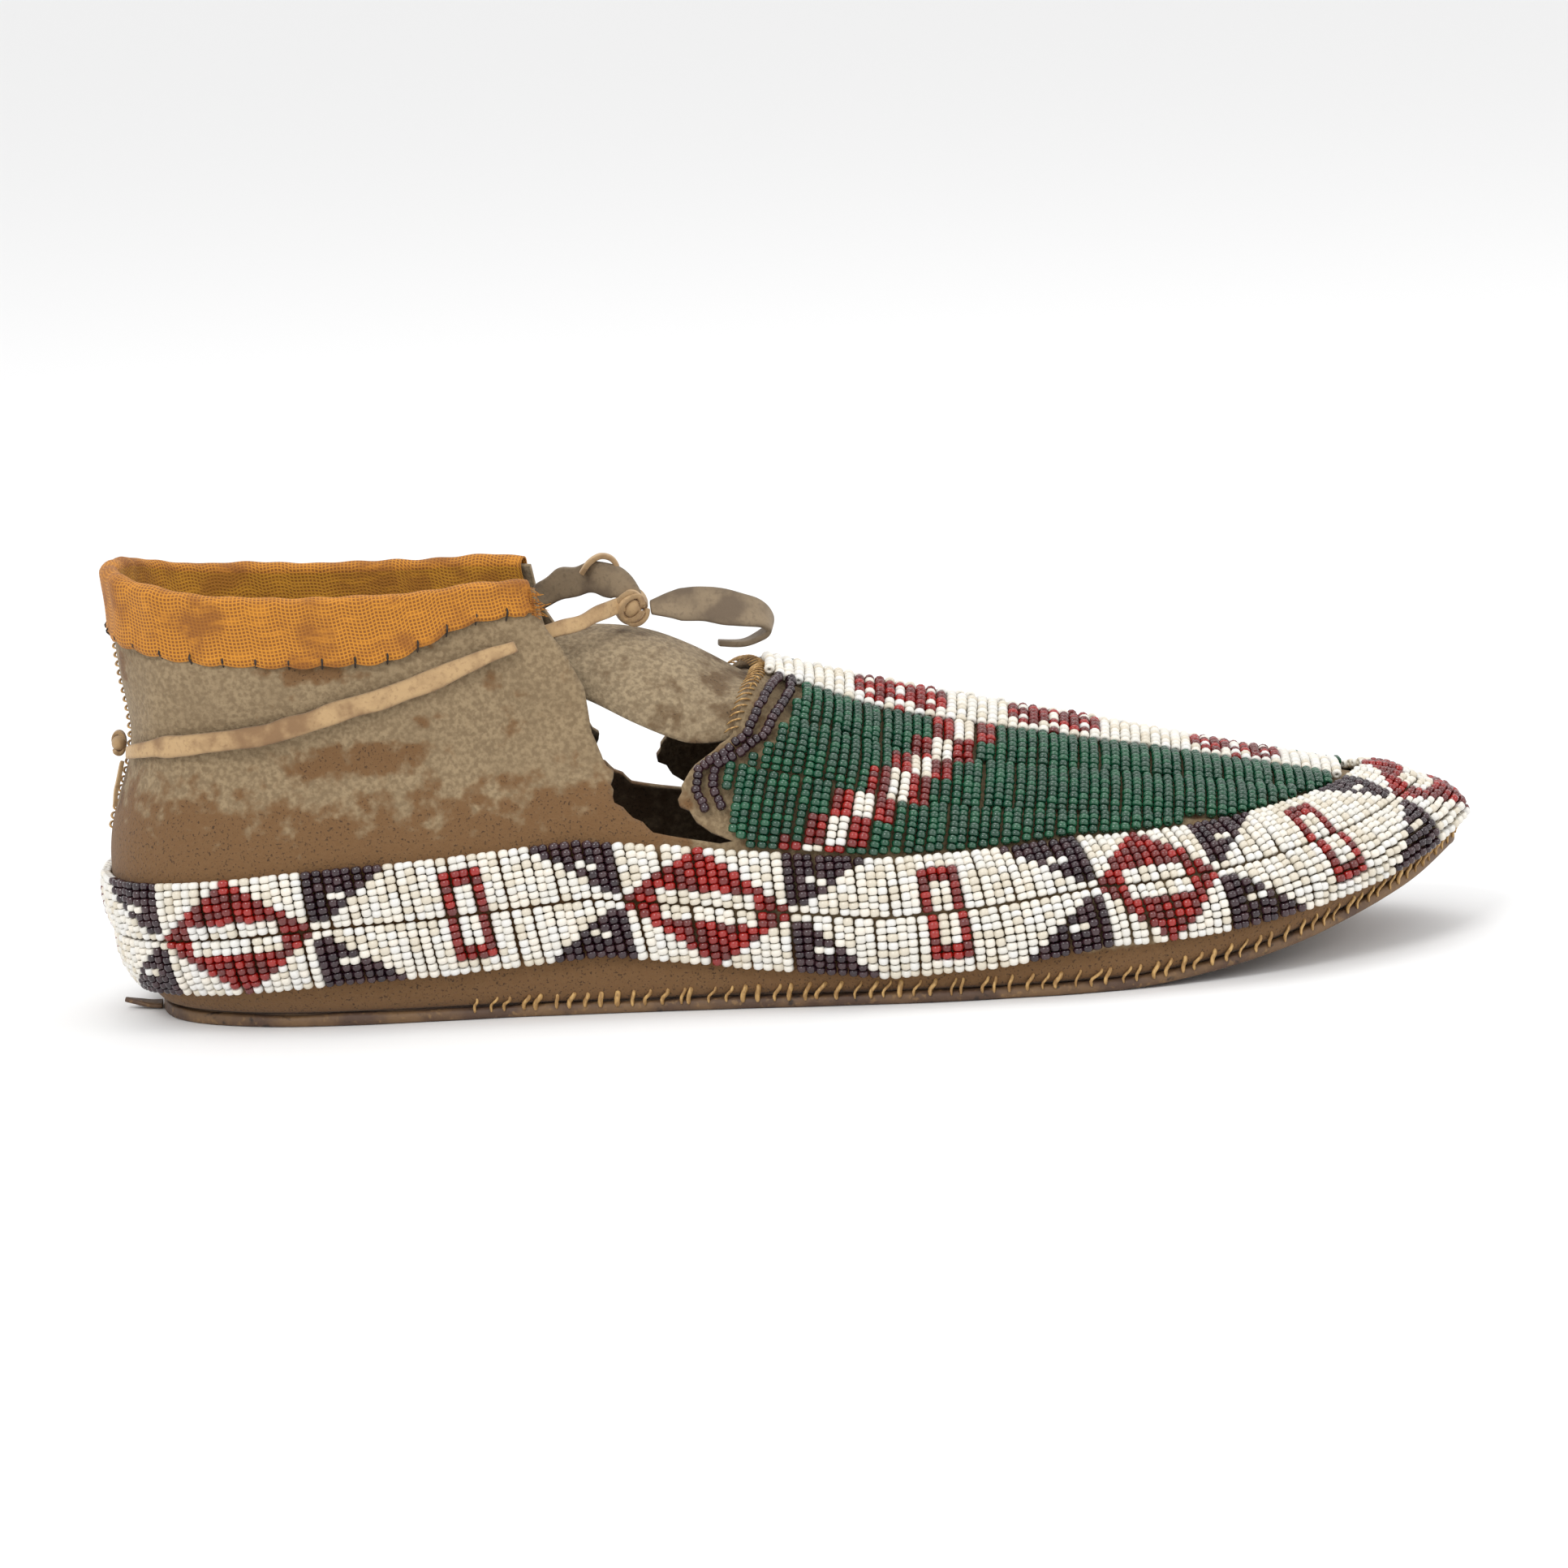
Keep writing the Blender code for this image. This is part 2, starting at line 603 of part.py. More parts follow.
def build_threads():
    """Each seam's thread as one run of stitches lying on the hide."""
    thread = 0.28
    clear = GAP + thread

    def whip(side, along, k):
        if k % 2:
            return off_skin(side, along, height_share(side, along, 2.2), clear)
        x, y = outline(side, along)
        near_x, near_y = skin(side, along, height_share(side, along, 1.2))[:2]
        away = np.array([near_x - x, near_y - y])
        away /= np.linalg.norm(away)
        spot = np.array([x, y]) + away * (SOLE_MARGIN + clear)
        return np.array([spot[0], spot[1], toe_lift(x) + SOLE_THICKNESS * 0.5])

    tube("sole_seam_thread", around_points(90, whip), thread, SINEW_COLOUR, closed=True)

    heel = []
    for k, up in enumerate(np.linspace(0.40, 0.86, 25)):
        heel.append(off_skin(NEAR if k % 2 else FAR, 0.003, up, clear))
    tube("heel_seam_thread", heel, thread, SINEW_COLOUR)

    seam = []
    for k, across in enumerate(np.linspace(-0.96, 0.96, 37)):
        side = NEAR if across < 0 else FAR
        up = 1 - 0.43 * abs(across)
        throat = edge_at(THROAT_EDGE, up)
        seam.append(off_skin(side, throat + (0.004 if k % 2 else -0.006), up, clear))
    tube("tongue_seam_thread", seam, thread, SINEW_COLOUR)

    for name, height, deep, inset in (("binding_outer_thread", GAP + CLOTH + clear, 11.0, 1.4),
                                      ("binding_inner_thread",
                                       -(HIDE + GAP + CLOTH + clear), 9.0, 2.0)):
        run = []
        for k, (side, along) in enumerate(rim_stations(61)[1:-1]):
            wall = wall_length(side, along, 1.0)
            length = wall - binding_depth(along, deep) + inset + (0.8 if k % 2 else 0.0)
            run.append(off_skin(side, along, height_share(side, along, length), height))
        tube(name, run, thread, THREAD_COLOUR)


# ---------------------------------------------------------------- thong and its knot

KNOT = (-27.0, -6.0, 71.6)
KNOT_RADIUS = 3.0
KNOT_HALF_WIDTH = 2.4
HIDE_TO_LACE = GAP + LACE_THICKNESS / 2 + 0.35


def through_slit(side, slit, inward):
    """Path points at a slit, from the outer run to the inner one or the other way."""
    way, normal, across = lace_frame(side, *slit)
    spot = skin(side, *slit)
    outside = spot + normal * HIDE_TO_LACE
    inside = spot - normal * (HIDE + HIDE_TO_LACE)
    ends = [(outside, across), (inside, across)]
    return ends if inward else ends[::-1]


def lace_half(side):
    """One side's run, from the heel's middle inside to the front edge of the quarter."""
    run = []
    depth = -(HIDE + HIDE_TO_LACE)
    for along in (0.0, 0.014):
        way, normal, across = lace_frame(side, max(along, 0.006), HEEL_SLIT[1])
        run.append((off_skin(side, along, HEEL_SLIT[1], depth), across))
    run += through_slit(side, HEEL_SLIT, inward=False)
    for along, up in LACE_WAY:
        way, normal, across = lace_frame(side, along, up)
        run.append((off_skin(side, along, up, HIDE_TO_LACE), across))
    run += through_slit(side, FRONT_SLIT, inward=True)
    for along, up in ((0.351, 0.874), (0.362, 0.886)):
        way, normal, across = lace_frame(side, along, up)
        run.append((off_skin(side, along, up, depth), across))
    return run


def build_lace():
    """The one long thong: knot, near side, round the heel, far side and back to the knot."""
    near = lace_half(NEAR)
    far = lace_half(FAR)
    near_free = [((-38.5, -13.5, 70.0), (0.2, 0.3, 1.0)), ((-33.5, -10.5, 71.4), (0.2, 0.3, 1.0)),
                 ((-30.9, -8.0, 72.2), (0.2, 0.3, 1.0))]
    far_free = [((-44.0, 10.5, 72.2), (0.1, -0.4, 1.0)), ((-40.0, 4.5, 74.2), (0.1, -0.3, 1.0)),
                ((-35.0, -1.5, 74.4), (0.1, -0.2, 1.0)), ((-31.2, -4.0, 73.6), (0.1, 0.1, 1.0))]
    turned = [(point, -np.asarray(across)) for point, across in near[1:]][::-1]
    start = [(np.array(p), np.array(w)) for p, w in near_free[::-1]]
    end = [(np.array(p), np.array(w)) for p, w in far_free]
    way = start + turned + far + end
    path, across = [], []
    for point, width in way:
        if across and np.dot(width, across[-1]) < 0:
            width = -np.asarray(width)
        path.append(point)
        across.append(width)
    ribbon("ankle_lace", path, across, LACE_WIDTH, LACE_THICKNESS, THONG_COLOUR)


def build_bow():
    """The knot, the stiff loop that points forward and the small one that stands up."""
    knot_x, knot_y, knot_z = KNOT
    sections = []
    for share, size in ((-1, 0.5), (-0.6, 0.88), (0, 1.0), (0.6, 0.88), (1, 0.5)):
        angles = [2 * math.pi * i / 12 for i in range(12)]
        sections.append([(knot_x + size * KNOT_RADIUS * math.cos(angle),
                          knot_y + share * KNOT_HALF_WIDTH,
                          knot_z + size * KNOT_RADIUS * math.sin(angle)) for angle in angles])
    loft("lace_knot", sections, THONG_COLOUR)

    front = (((-23.6, -5.6, 71.4), (0, 0.3, 1)), ((-18, -5.0, 71.6), (0, 0.35, 1)),
             ((-12, -4.0, 71.0), (0, 0.4, 1)), ((-6.5, -3.0, 69.7), (0.1, 0.55, 1)),
             ((-2.6, -1.6, 68.0), (0.25, 0.9, 0.8)), ((-1.2, -0.4, 66.0), (0.2, 1, 0.3)),
             ((-2.8, 0.0, 64.2), (0, 1, 0.1)), ((-6.5, -0.4, 63.0), (0, 1, 0)),
             ((-11.0, -1.2, 63.3), (0, 1, 0)))
    widths = np.linspace(STRAP_WIDTH, STRAP_WIDTH * 0.75, len(front))
    ribbon("bow_front_loop", [p for p, _ in front], [w for _, w in front], widths,
           LACE_THICKNESS, THONG_COLOUR, origin=KNOT)

    back = (((-30.0, -2.2, 76.2), (0, 1, 0.2)), ((-29.2, -1.9, 78.4), (0, 1, 0)),
            ((-30.2, -1.6, 80.4), (0, 1, 0)), ((-32.2, -1.4, 81.0), (0, 1, 0)),
            ((-34.4, -1.2, 79.8), (0, 1, 0)), ((-36.0, -1.0, 77.8), (0, 1, 0)))
    ribbon("bow_small_loop", [p for p, _ in back], [w for _, w in back], 3.0, 1.0,
           THONG_COLOUR, origin=back[0][0])


def build_heel_tie():
    """A short thong knotted through the heel seam, its tail, and the tag at the sole."""
    sections = []
    spot = off_skin(NEAR, 0.0, 0.60, 0.0)
    for share, size in ((-1, 0.5), (-0.5, 0.9), (0, 1.0), (0.5, 0.9), (1, 0.5)):
        ring = []
        for i in range(8):
            angle = 2 * math.pi * i / 8
            ring.append((spot[0] - 2.4 + size * 1.4 * math.cos(angle), spot[1] + share * 3.0,
                         spot[2] + size * 2.2 * math.sin(angle)))
        sections.append(ring)
    loft("heel_tie_knot", sections, THONG_COLOUR)

    tail_way = ((0.006, 0.555), (0.012, 0.525), (0.018, 0.495), (0.024, 0.465))
    path, across = [], []
    for k, (along, up) in enumerate(tail_way):
        path.append(off_skin(NEAR, along, up, GAP + 0.9))
        across.append(skin(NEAR, along + 0.01, up) - skin(NEAR, along, up))
    ribbon("heel_tie_tail", path, across, (1.6, 1.3, 0.9, 0.5), 0.9, THONG_COLOUR,
           origin=path[0])

    root = (OUTLINE[NEAR][0][0] - SOLE_MARGIN - 1.4, 0.0, 0.7)
    path = (root, (root[0] - 2.8, 0.1, 1.0), (root[0] - 6.0, 0.3, 1.8))
    ribbon("heel_tag", path, ((0, 1, 0),) * 3, (5.0, 3.6, 0.8), 0.9, SOLE_COLOUR, origin=root)


# ---------------------------------------------------------------- beadwork

def strip_section(side, alongs, ups, low, high):
    """A closed ring across a bead strip: its outer face, then its inner face back."""
    outer = off_skin(side, alongs, ups, high)
    inner = off_skin(side, alongs, ups, low)
    return np.concatenate([outer, inner[::-1]])


def build_border():
    """Two lanes of beads right round the shoe, one above the other."""
    for name, start in (("border_lane_lower", 0.0), ("border_lane_upper", LANE_WIDTH + 0.4)):
        def section(side, along, _k, start=start):
            begin = border_start(along) + start
            lengths = np.linspace(begin, begin + LANE_WIDTH - 0.2, 4)
            ups = np.array([height_share(side, along, length) for length in lengths])
            return strip_section(side, np.full(4, along), ups, BEAD_GAP, BEAD_GAP + BEAD_HEIGHT)

        loft(name, around_points(37, section), WHITE_BEAD, closed=True, roughness=0.35)


def throat_x(side, length):
    """Where the bead lanes begin behind, at a length down from the ridge."""
    ups = np.linspace(1, NOTCH_BOTTOM, 60)
    edge = skin(side, edge_at(THROAT_EDGE, ups), ups)
    down = lengths_along(edge)
    return float(np.interp(length, down, edge[:, 0]))


THROAT_BEADS = 7.4


def lane_points(side, x, low, high, count):
    """Shares across one vamp lane at x, or None where the border has cut it off."""
    alongs, ups, lengths = cross_cut(side, x)
    limit = border_limit(side, alongs, ups, lengths)
    if limit - low < 2.0:
        return None
    high = min(high, limit)
    wanted = np.linspace(low, high, count)
    return np.interp(wanted, lengths, alongs), np.interp(wanted, lengths, ups)


CENTRE_POINTS = {NEAR: 6, FAR: 2}
SIDE_LANE_REACH = 98.5
CENTRE_LANE_REACH = 106.0


def lane_end(side, low, reach):
    """How far forward a vamp lane runs before the border meets it."""
    xs = np.arange(20, reach, 0.5)
    fitting = [x for x in xs if lane_points(side, x, low, low + 3, 2) is not None]
    return max(fitting)


def build_vamp():
    """Lanes that run the length of the vamp, the middle one along its ridge."""
    for side, word in ((NEAR, "near"), (FAR, "far")):
        for number, (low, high) in enumerate(VAMP_LANES[side], start=1):
            end = lane_end(side, low, SIDE_LANE_REACH)
            start = max(throat_x(side, low), throat_x(side, min(high, 38))) + THROAT_BEADS
            sections = []
            for x in np.linspace(start, end, 13):
                alongs, ups = lane_points(side, x, low, high, 4 if number < 3 else 7)
                sections.append(strip_section(side, alongs, ups, BEAD_GAP, BEAD_GAP + BEAD_HEIGHT))
            loft(f"vamp_lane_{word}_{number}", sections, GREEN_BEAD, roughness=0.3)
    end = min(lane_end(side, 0.0, CENTRE_LANE_REACH) for side in SIDES)
    sections = []
    for x in np.linspace(throat_x(NEAR, 0) + THROAT_BEADS, end, 25):
        halves = []
        for side in SIDES:
            alongs, ups = lane_points(side, x, 0.0, CENTRE_LANE[side], CENTRE_POINTS[side])
            halves.append((off_skin(side, alongs, ups, BEAD_GAP + BEAD_HEIGHT),
                           off_skin(side, alongs, ups, BEAD_GAP + RIDGE_CLEARANCE)))
        near, far = halves
        outer, inner = (np.concatenate([near[face][:0:-1], [(near[face][0] + far[face][0]) / 2],
                                        far[face][1:]]) for face in (0, 1))
        sections.append(np.concatenate([outer, inner[::-1]]))
    loft("vamp_lane_centre", sections, WHITE_BEAD, roughness=0.35)


def build_throat_strings():
    """Two dark strings of beads along the vamp's rear edge, down to its corners."""
    for name, start, end in (("throat_string_rear", 0.006, 0.0130),
                             ("throat_string_front", 0.0158, 0.0228)):
        sections = []
        for share in np.linspace(-1, 1, 33):
            side = NEAR if share < 0 else FAR
            up = 1 - 0.62 * abs(share)
            base = edge_at(THROAT_EDGE, up)
            alongs = np.array([base + start, base + end])
            sections.append(strip_section(side, alongs, np.full(2, up), BEAD_GAP,
                                          BEAD_GAP + BEAD_HEIGHT))
        loft(name, sections, PURPLE_BEAD, roughness=0.3)


clear_scene()
PARTS = make_collection("moccasin")
CUTTERS = make_collection("cutters")
build_sole()
build_upper()
build_tongue()
build_binding()
build_threads()
build_lace()
build_bow()
build_heel_tie()
build_border()
build_vamp()
build_throat_strings()
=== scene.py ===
"""The looks of a beaded moccasin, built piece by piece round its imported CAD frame.

Toe along +X, far side along +Y, up along +Z. Lengths are in millimetres until they become
meshes. The hide's shape is the CAD's own formula, so every piece lies where its node does.
"""
import math

import bmesh
import bpy
import numpy as np
from mathutils import Matrix, Vector


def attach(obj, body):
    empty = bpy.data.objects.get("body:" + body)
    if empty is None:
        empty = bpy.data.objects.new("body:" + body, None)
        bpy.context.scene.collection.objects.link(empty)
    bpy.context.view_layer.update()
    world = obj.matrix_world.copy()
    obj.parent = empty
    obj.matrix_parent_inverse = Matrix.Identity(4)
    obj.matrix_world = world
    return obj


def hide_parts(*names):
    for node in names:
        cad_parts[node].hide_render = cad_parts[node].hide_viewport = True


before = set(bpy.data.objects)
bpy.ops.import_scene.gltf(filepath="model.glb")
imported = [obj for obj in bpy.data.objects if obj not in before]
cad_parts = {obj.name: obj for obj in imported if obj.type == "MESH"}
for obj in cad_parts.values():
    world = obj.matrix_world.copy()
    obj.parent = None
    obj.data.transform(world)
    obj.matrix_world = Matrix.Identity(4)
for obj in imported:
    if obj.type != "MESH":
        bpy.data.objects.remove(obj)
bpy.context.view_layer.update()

MILLIMETRE = 0.001
NEAR = -1
FAR = 1
SIDES = (NEAR, FAR)
SIDE_NAMES = {NEAR: "near", FAR: "far"}
RANDOM = np.random.default_rng(7)

# The sole seam in plan, from the middle of the heel to the tip of the toe.
OUTLINE = {
    NEAR: ((-117.5, 0), (-114, -13), (-102, -22), (-84, -26.5), (-50, -28.5), (-15, -32.5),
           (25, -38), (58, -37.5), (89, -30.5), (112, -15), (124.5, 2), (127, 9)),
    FAR: ((-117.5, 0), (-114, 13), (-102, 22), (-84, 26), (-50, 27), (-15, 30.5),
          (25, 35), (58, 37.5), (89, 36.5), (112, 28.5), (124.5, 16.5), (127, 9)),
}
# The upper's top line: share of the seam's length, x, half width, z.
RIM = ((0.00, -124.5, 0, 83), (0.05, -121, 13.5, 82), (0.11, -110, 22, 79.5),
       (0.18, -93, 25, 78), (0.26, -73, 24, 77.5), (0.33, -55, 20, 78),
       (0.38, -41, 15, 77), (0.44, -22, 8, 69.5), (0.50, -3, 1.5, 59))
# The ridge of the vamp: share of the seam's length, x, y, z.
RIDGE = ((0.50, -3, -3, 59), (0.60, 17, -2, 53.5), (0.70, 39, 0, 47.7), (0.80, 62, 3, 41.7),
         (0.90, 83, 6.5, 36), (1.00, 101, 9, 31.5))
THROAT = 0.50
CREST = 0.45
SOLE_THICKNESS = 2.2
SOLE_MARGIN = 1.5
TOE_SPRING = 15.5
TOE_SPRING_START = 57.0
TOE_TIP = 127.0
TOE_TIP_Y = 9.0
SEAM_HEIGHT = 2.6
HIDE = 1.3
GAP = 0.35

# The notch beside the tongue: height share, then share of the seam's length, for its two edges.
QUARTER_EDGE = ((0.312, 0.434), (0.338, 0.415), (0.359, 0.403), (0.431, 0.382), (0.534, 0.38),
                (0.628, 0.376), (0.741, 0.379), (0.845, 0.372), (0.897, 0.366), (1, 0.366))
THROAT_EDGE = ((0.312, 0.442), (0.348, 0.427), (0.379, 0.42), (0.431, 0.417), (0.483, 0.421),
               (0.514, 0.438), (0.56, 0.453), (0.679, 0.468), (0.845, 0.487), (1, 0.5))
NOTCH_BOTTOM = 0.312

LANE_WIDTH = 10.6
# Height of the border's lower edge above the seam, along the seam's length.
BORDER_START = ((0.0, 6.2), (0.10, 7.0), (0.24, 8.2), (0.35, 10.0), (0.44, 6.2), (0.53, 3.6),
                (0.60, 4.5), (0.68, 7.0), (0.76, 5.6), (0.88, 3.8), (1.0, 3.6))
CENTRE_LANE = {NEAR: 8.6, FAR: 1.8}

# Where the thong goes through the hide: share of the seam's length, height share.
HEEL_SLIT = (0.030, 0.594)
FRONT_SLIT = (0.340, 0.861)
LACE_WAY = ((0.05, 0.615), (0.078, 0.641), (0.11, 0.664), (0.158, 0.694),
            (0.212, 0.747), (0.253, 0.78), (0.295, 0.821), (0.321, 0.846))
LACE_THICKNESS = 1.2


# ---------------------------------------------------------------- curves and the hide's surface

def smooth_path(points, count):
    """Evenly numbered points on a Catmull-Rom curve through the given points."""
    given = np.asarray(points, float)
    padded = np.vstack([2 * given[0] - given[1], given, 2 * given[-1] - given[-2]])
    places = np.linspace(0, len(given) - 1, count)
    first = np.minimum(places.astype(int), len(given) - 2)
    part = (places - first)[:, None]
    a, b, c, d = (padded[first + k] for k in range(4))
    return 0.5 * (2 * b + (c - a) * part + (2 * a - 5 * b + 4 * c - d) * part ** 2
                  + (3 * b - a - 3 * c + d) * part ** 3)


def lengths_along(points):
    return np.r_[0, np.cumsum(np.linalg.norm(np.diff(points, axis=0), axis=1))]


def ease(low, high, value):
    share = np.clip((value - low) / (high - low), 0, 1)
    return share * share * (3 - 2 * share)


def unit(vectors):
    vectors = np.asarray(vectors, float)
    return vectors / (np.linalg.norm(vectors, axis=-1, keepdims=True) + 1e-12)


def outline_table(side):
    """The seam's plan curve, square to the shoe's length at both of its ends."""
    given = np.asarray(OUTLINE[side], float)
    before = given[1] * (1, -1)
    after = np.array([given[-2][0], 2 * given[-1][1] - given[-2][1]])
    count = 150 * (len(given) + 1) + 1
    dense = smooth_path(np.vstack([before, given, after]), count)[150:-150]
    along = lengths_along(dense)
    return along / along[-1], dense


OUTLINE_TABLE = {side: outline_table(side) for side in SIDES}
RIM_TABLE = smooth_path(((-0.05, -122.5, -12.5, 82.5),) + RIM, 1200)
RIDGE_TABLE = smooth_path(RIDGE, 600)


def folded(along):
    """Shares just past the heel or the toe come back along the same side."""
    return 1 - np.abs(1 - np.abs(along))


def mirrored(along, y):
    """Past the heel or the toe the shape goes on as its own mirror image."""
    return np.where(along < 0, -y, np.where(along > 1, 2 * TOE_TIP_Y - y, y))


def outline(side, along):
    shares, points = OUTLINE_TABLE[side]
    x = np.interp(folded(along), shares, points[:, 0])
    return x, mirrored(along, np.interp(folded(along), shares, points[:, 1]))


def toe_lift(x):
    share = np.clip((x - TOE_SPRING_START) / (TOE_TIP - TOE_SPRING_START), 0, 1)
    return TOE_SPRING * share ** 1.6


def top_line(side, along):
    share = folded(along)
    rim = [np.interp(share, RIM_TABLE[:, 0], RIM_TABLE[:, k]) for k in (1, 2, 3)]
    ridge = [np.interp(share, RIDGE_TABLE[:, 0], RIDGE_TABLE[:, k]) for k in (1, 2, 3)]
    closing = ease(0.40, THROAT, share)
    rim_y = side * (rim[1] - 1.5 * closing) - 3 * closing
    behind = share < THROAT
    y = mirrored(along, np.where(behind, rim_y, ridge[1]))
    return np.where(behind, rim[0], ridge[0]), y, np.where(behind, rim[2], ridge[2])


def skin(side, along, up):
    """A point of the hide's outer face, by share along the seam and share up the wall."""
    along = np.asarray(along, float)
    up = np.asarray(up, float)
    base_x, base_y = outline(side, along)
    base_z = SEAM_HEIGHT + toe_lift(base_x)
    top_x, top_y, top_z = top_line(side, along)
    ahead_x, ahead_y = outline(side, along + 0.001)
    behind_x, behind_y = outline(side, along - 0.001)
    step_x, step_y = ahead_x - behind_x, ahead_y - behind_y
    step = np.hypot(step_x, step_y) + 1e-9
    out_x, out_y = -side * step_y / step, side * step_x / step
    share = folded(along)
    vamp = ease(0.34, 0.52, share)
    squareness = 2.2 + 0.8 * ease(0.55, 0.9, share)
    angle = up * math.pi / 2
    arch_in = np.where(up >= 1, 1, 1 - np.abs(np.cos(angle)) ** (2 / squareness))
    arch_up = np.abs(np.sin(angle)) ** (2 / squareness)
    inward = up * (1 - vamp) + arch_in * vamp
    crest = CREST * ease(0.46, 0.62, share)
    upward = up * (1 - vamp) + (arch_up * (1 - crest) + arch_in * crest) * vamp
    heel = 1 - ease(0.04, 0.20, share)
    bulge = (5 + 2.5 * heel) * (1 - vamp) + 3.0 * vamp
    swell = np.sqrt(1 - (1 - np.clip(upward / 0.30, 0, 1)) ** 2) * (1 - ease(0.30, 0.95, upward))
    waist = -(3.0 + 1.0 * heel) * np.exp(-((upward - 0.60) / 0.16) ** 2) * (1 - vamp)
    out = bulge * swell + waist
    return np.stack([base_x + inward * (top_x - base_x) + out * out_x,
                     base_y + inward * (top_y - base_y) + out * out_y,
                     base_z + upward * (top_z - base_z)], -1)


def skin_normal(side, along, up):
    low_up, high_up = np.clip(up - 0.004, 0, 1), np.clip(up + 0.004, 0, 1)
    forward = skin(side, along + 0.002, up) - skin(side, along - 0.002, up)
    upward = skin(side, along, high_up) - skin(side, along, low_up)
    return unit(-side * np.cross(forward, upward))


def off_skin(side, along, up, height):
    """A point at a height above the hide's outer face; a negative height lies inside."""
    along, up = np.broadcast_arrays(np.asarray(along, float), np.asarray(up, float))
    return skin(side, along, up) + skin_normal(side, along, up) * np.asarray(height)[..., None]


UP_GRID = np.linspace(0, 1, 81)
ALONG_GRID = np.linspace(0, 1, 201)


def wall_table(side):
    """Points of the whole wall and their lengths up from the seam."""
    points = skin(side, ALONG_GRID[None, :], UP_GRID[:, None])
    steps = np.linalg.norm(np.diff(points, axis=0), axis=2)
    return points, np.vstack([np.zeros(len(ALONG_GRID)), np.cumsum(steps, axis=0)])


WALL_TABLE = {side: wall_table(side) for side in SIDES}


def wall_column(side, along):
    """Lengths up the wall at one share of the seam, for every share of UP_GRID."""
    lengths = WALL_TABLE[side][1]
    place = np.clip(along, 0, 1) * (len(ALONG_GRID) - 1)
    first = min(int(place), len(ALONG_GRID) - 2)
    part = place - first
    return lengths[:, first] * (1 - part) + lengths[:, first + 1] * part


def height_share(side, along, length):
    """The share up the wall that lies a given length, or lengths, above the seam."""
    return np.interp(length, wall_column(side, along), UP_GRID)


def wall_length(side, along, up):
    return float(np.interp(up, UP_GRID, wall_column(side, along)))


def border_start(along):
    places, starts = zip(*BORDER_START)
    return np.interp(along, places, starts)


def edge_at(edge, up):
    ups, alongs = zip(*edge)
    return np.interp(up, ups, alongs)


def ripple(points, size, seed):
    """Smooth noise between -1 and 1 at points in millimetres, with bumps of about one size."""
    points = np.asarray(points, float)
    chooser = np.random.default_rng(seed)
    total = np.zeros(points.shape[:-1])
    waves = 7
    for _ in range(waves):
        way = chooser.normal(size=3)
        way /= np.linalg.norm(way)
        wave = chooser.uniform(0.7, 1.5) / size * math.pi
        total += np.sin(points @ way * wave + chooser.uniform(0, 2 * math.pi))
    return total / math.sqrt(waves * 2)


# ---------------------------------------------------------------- materials

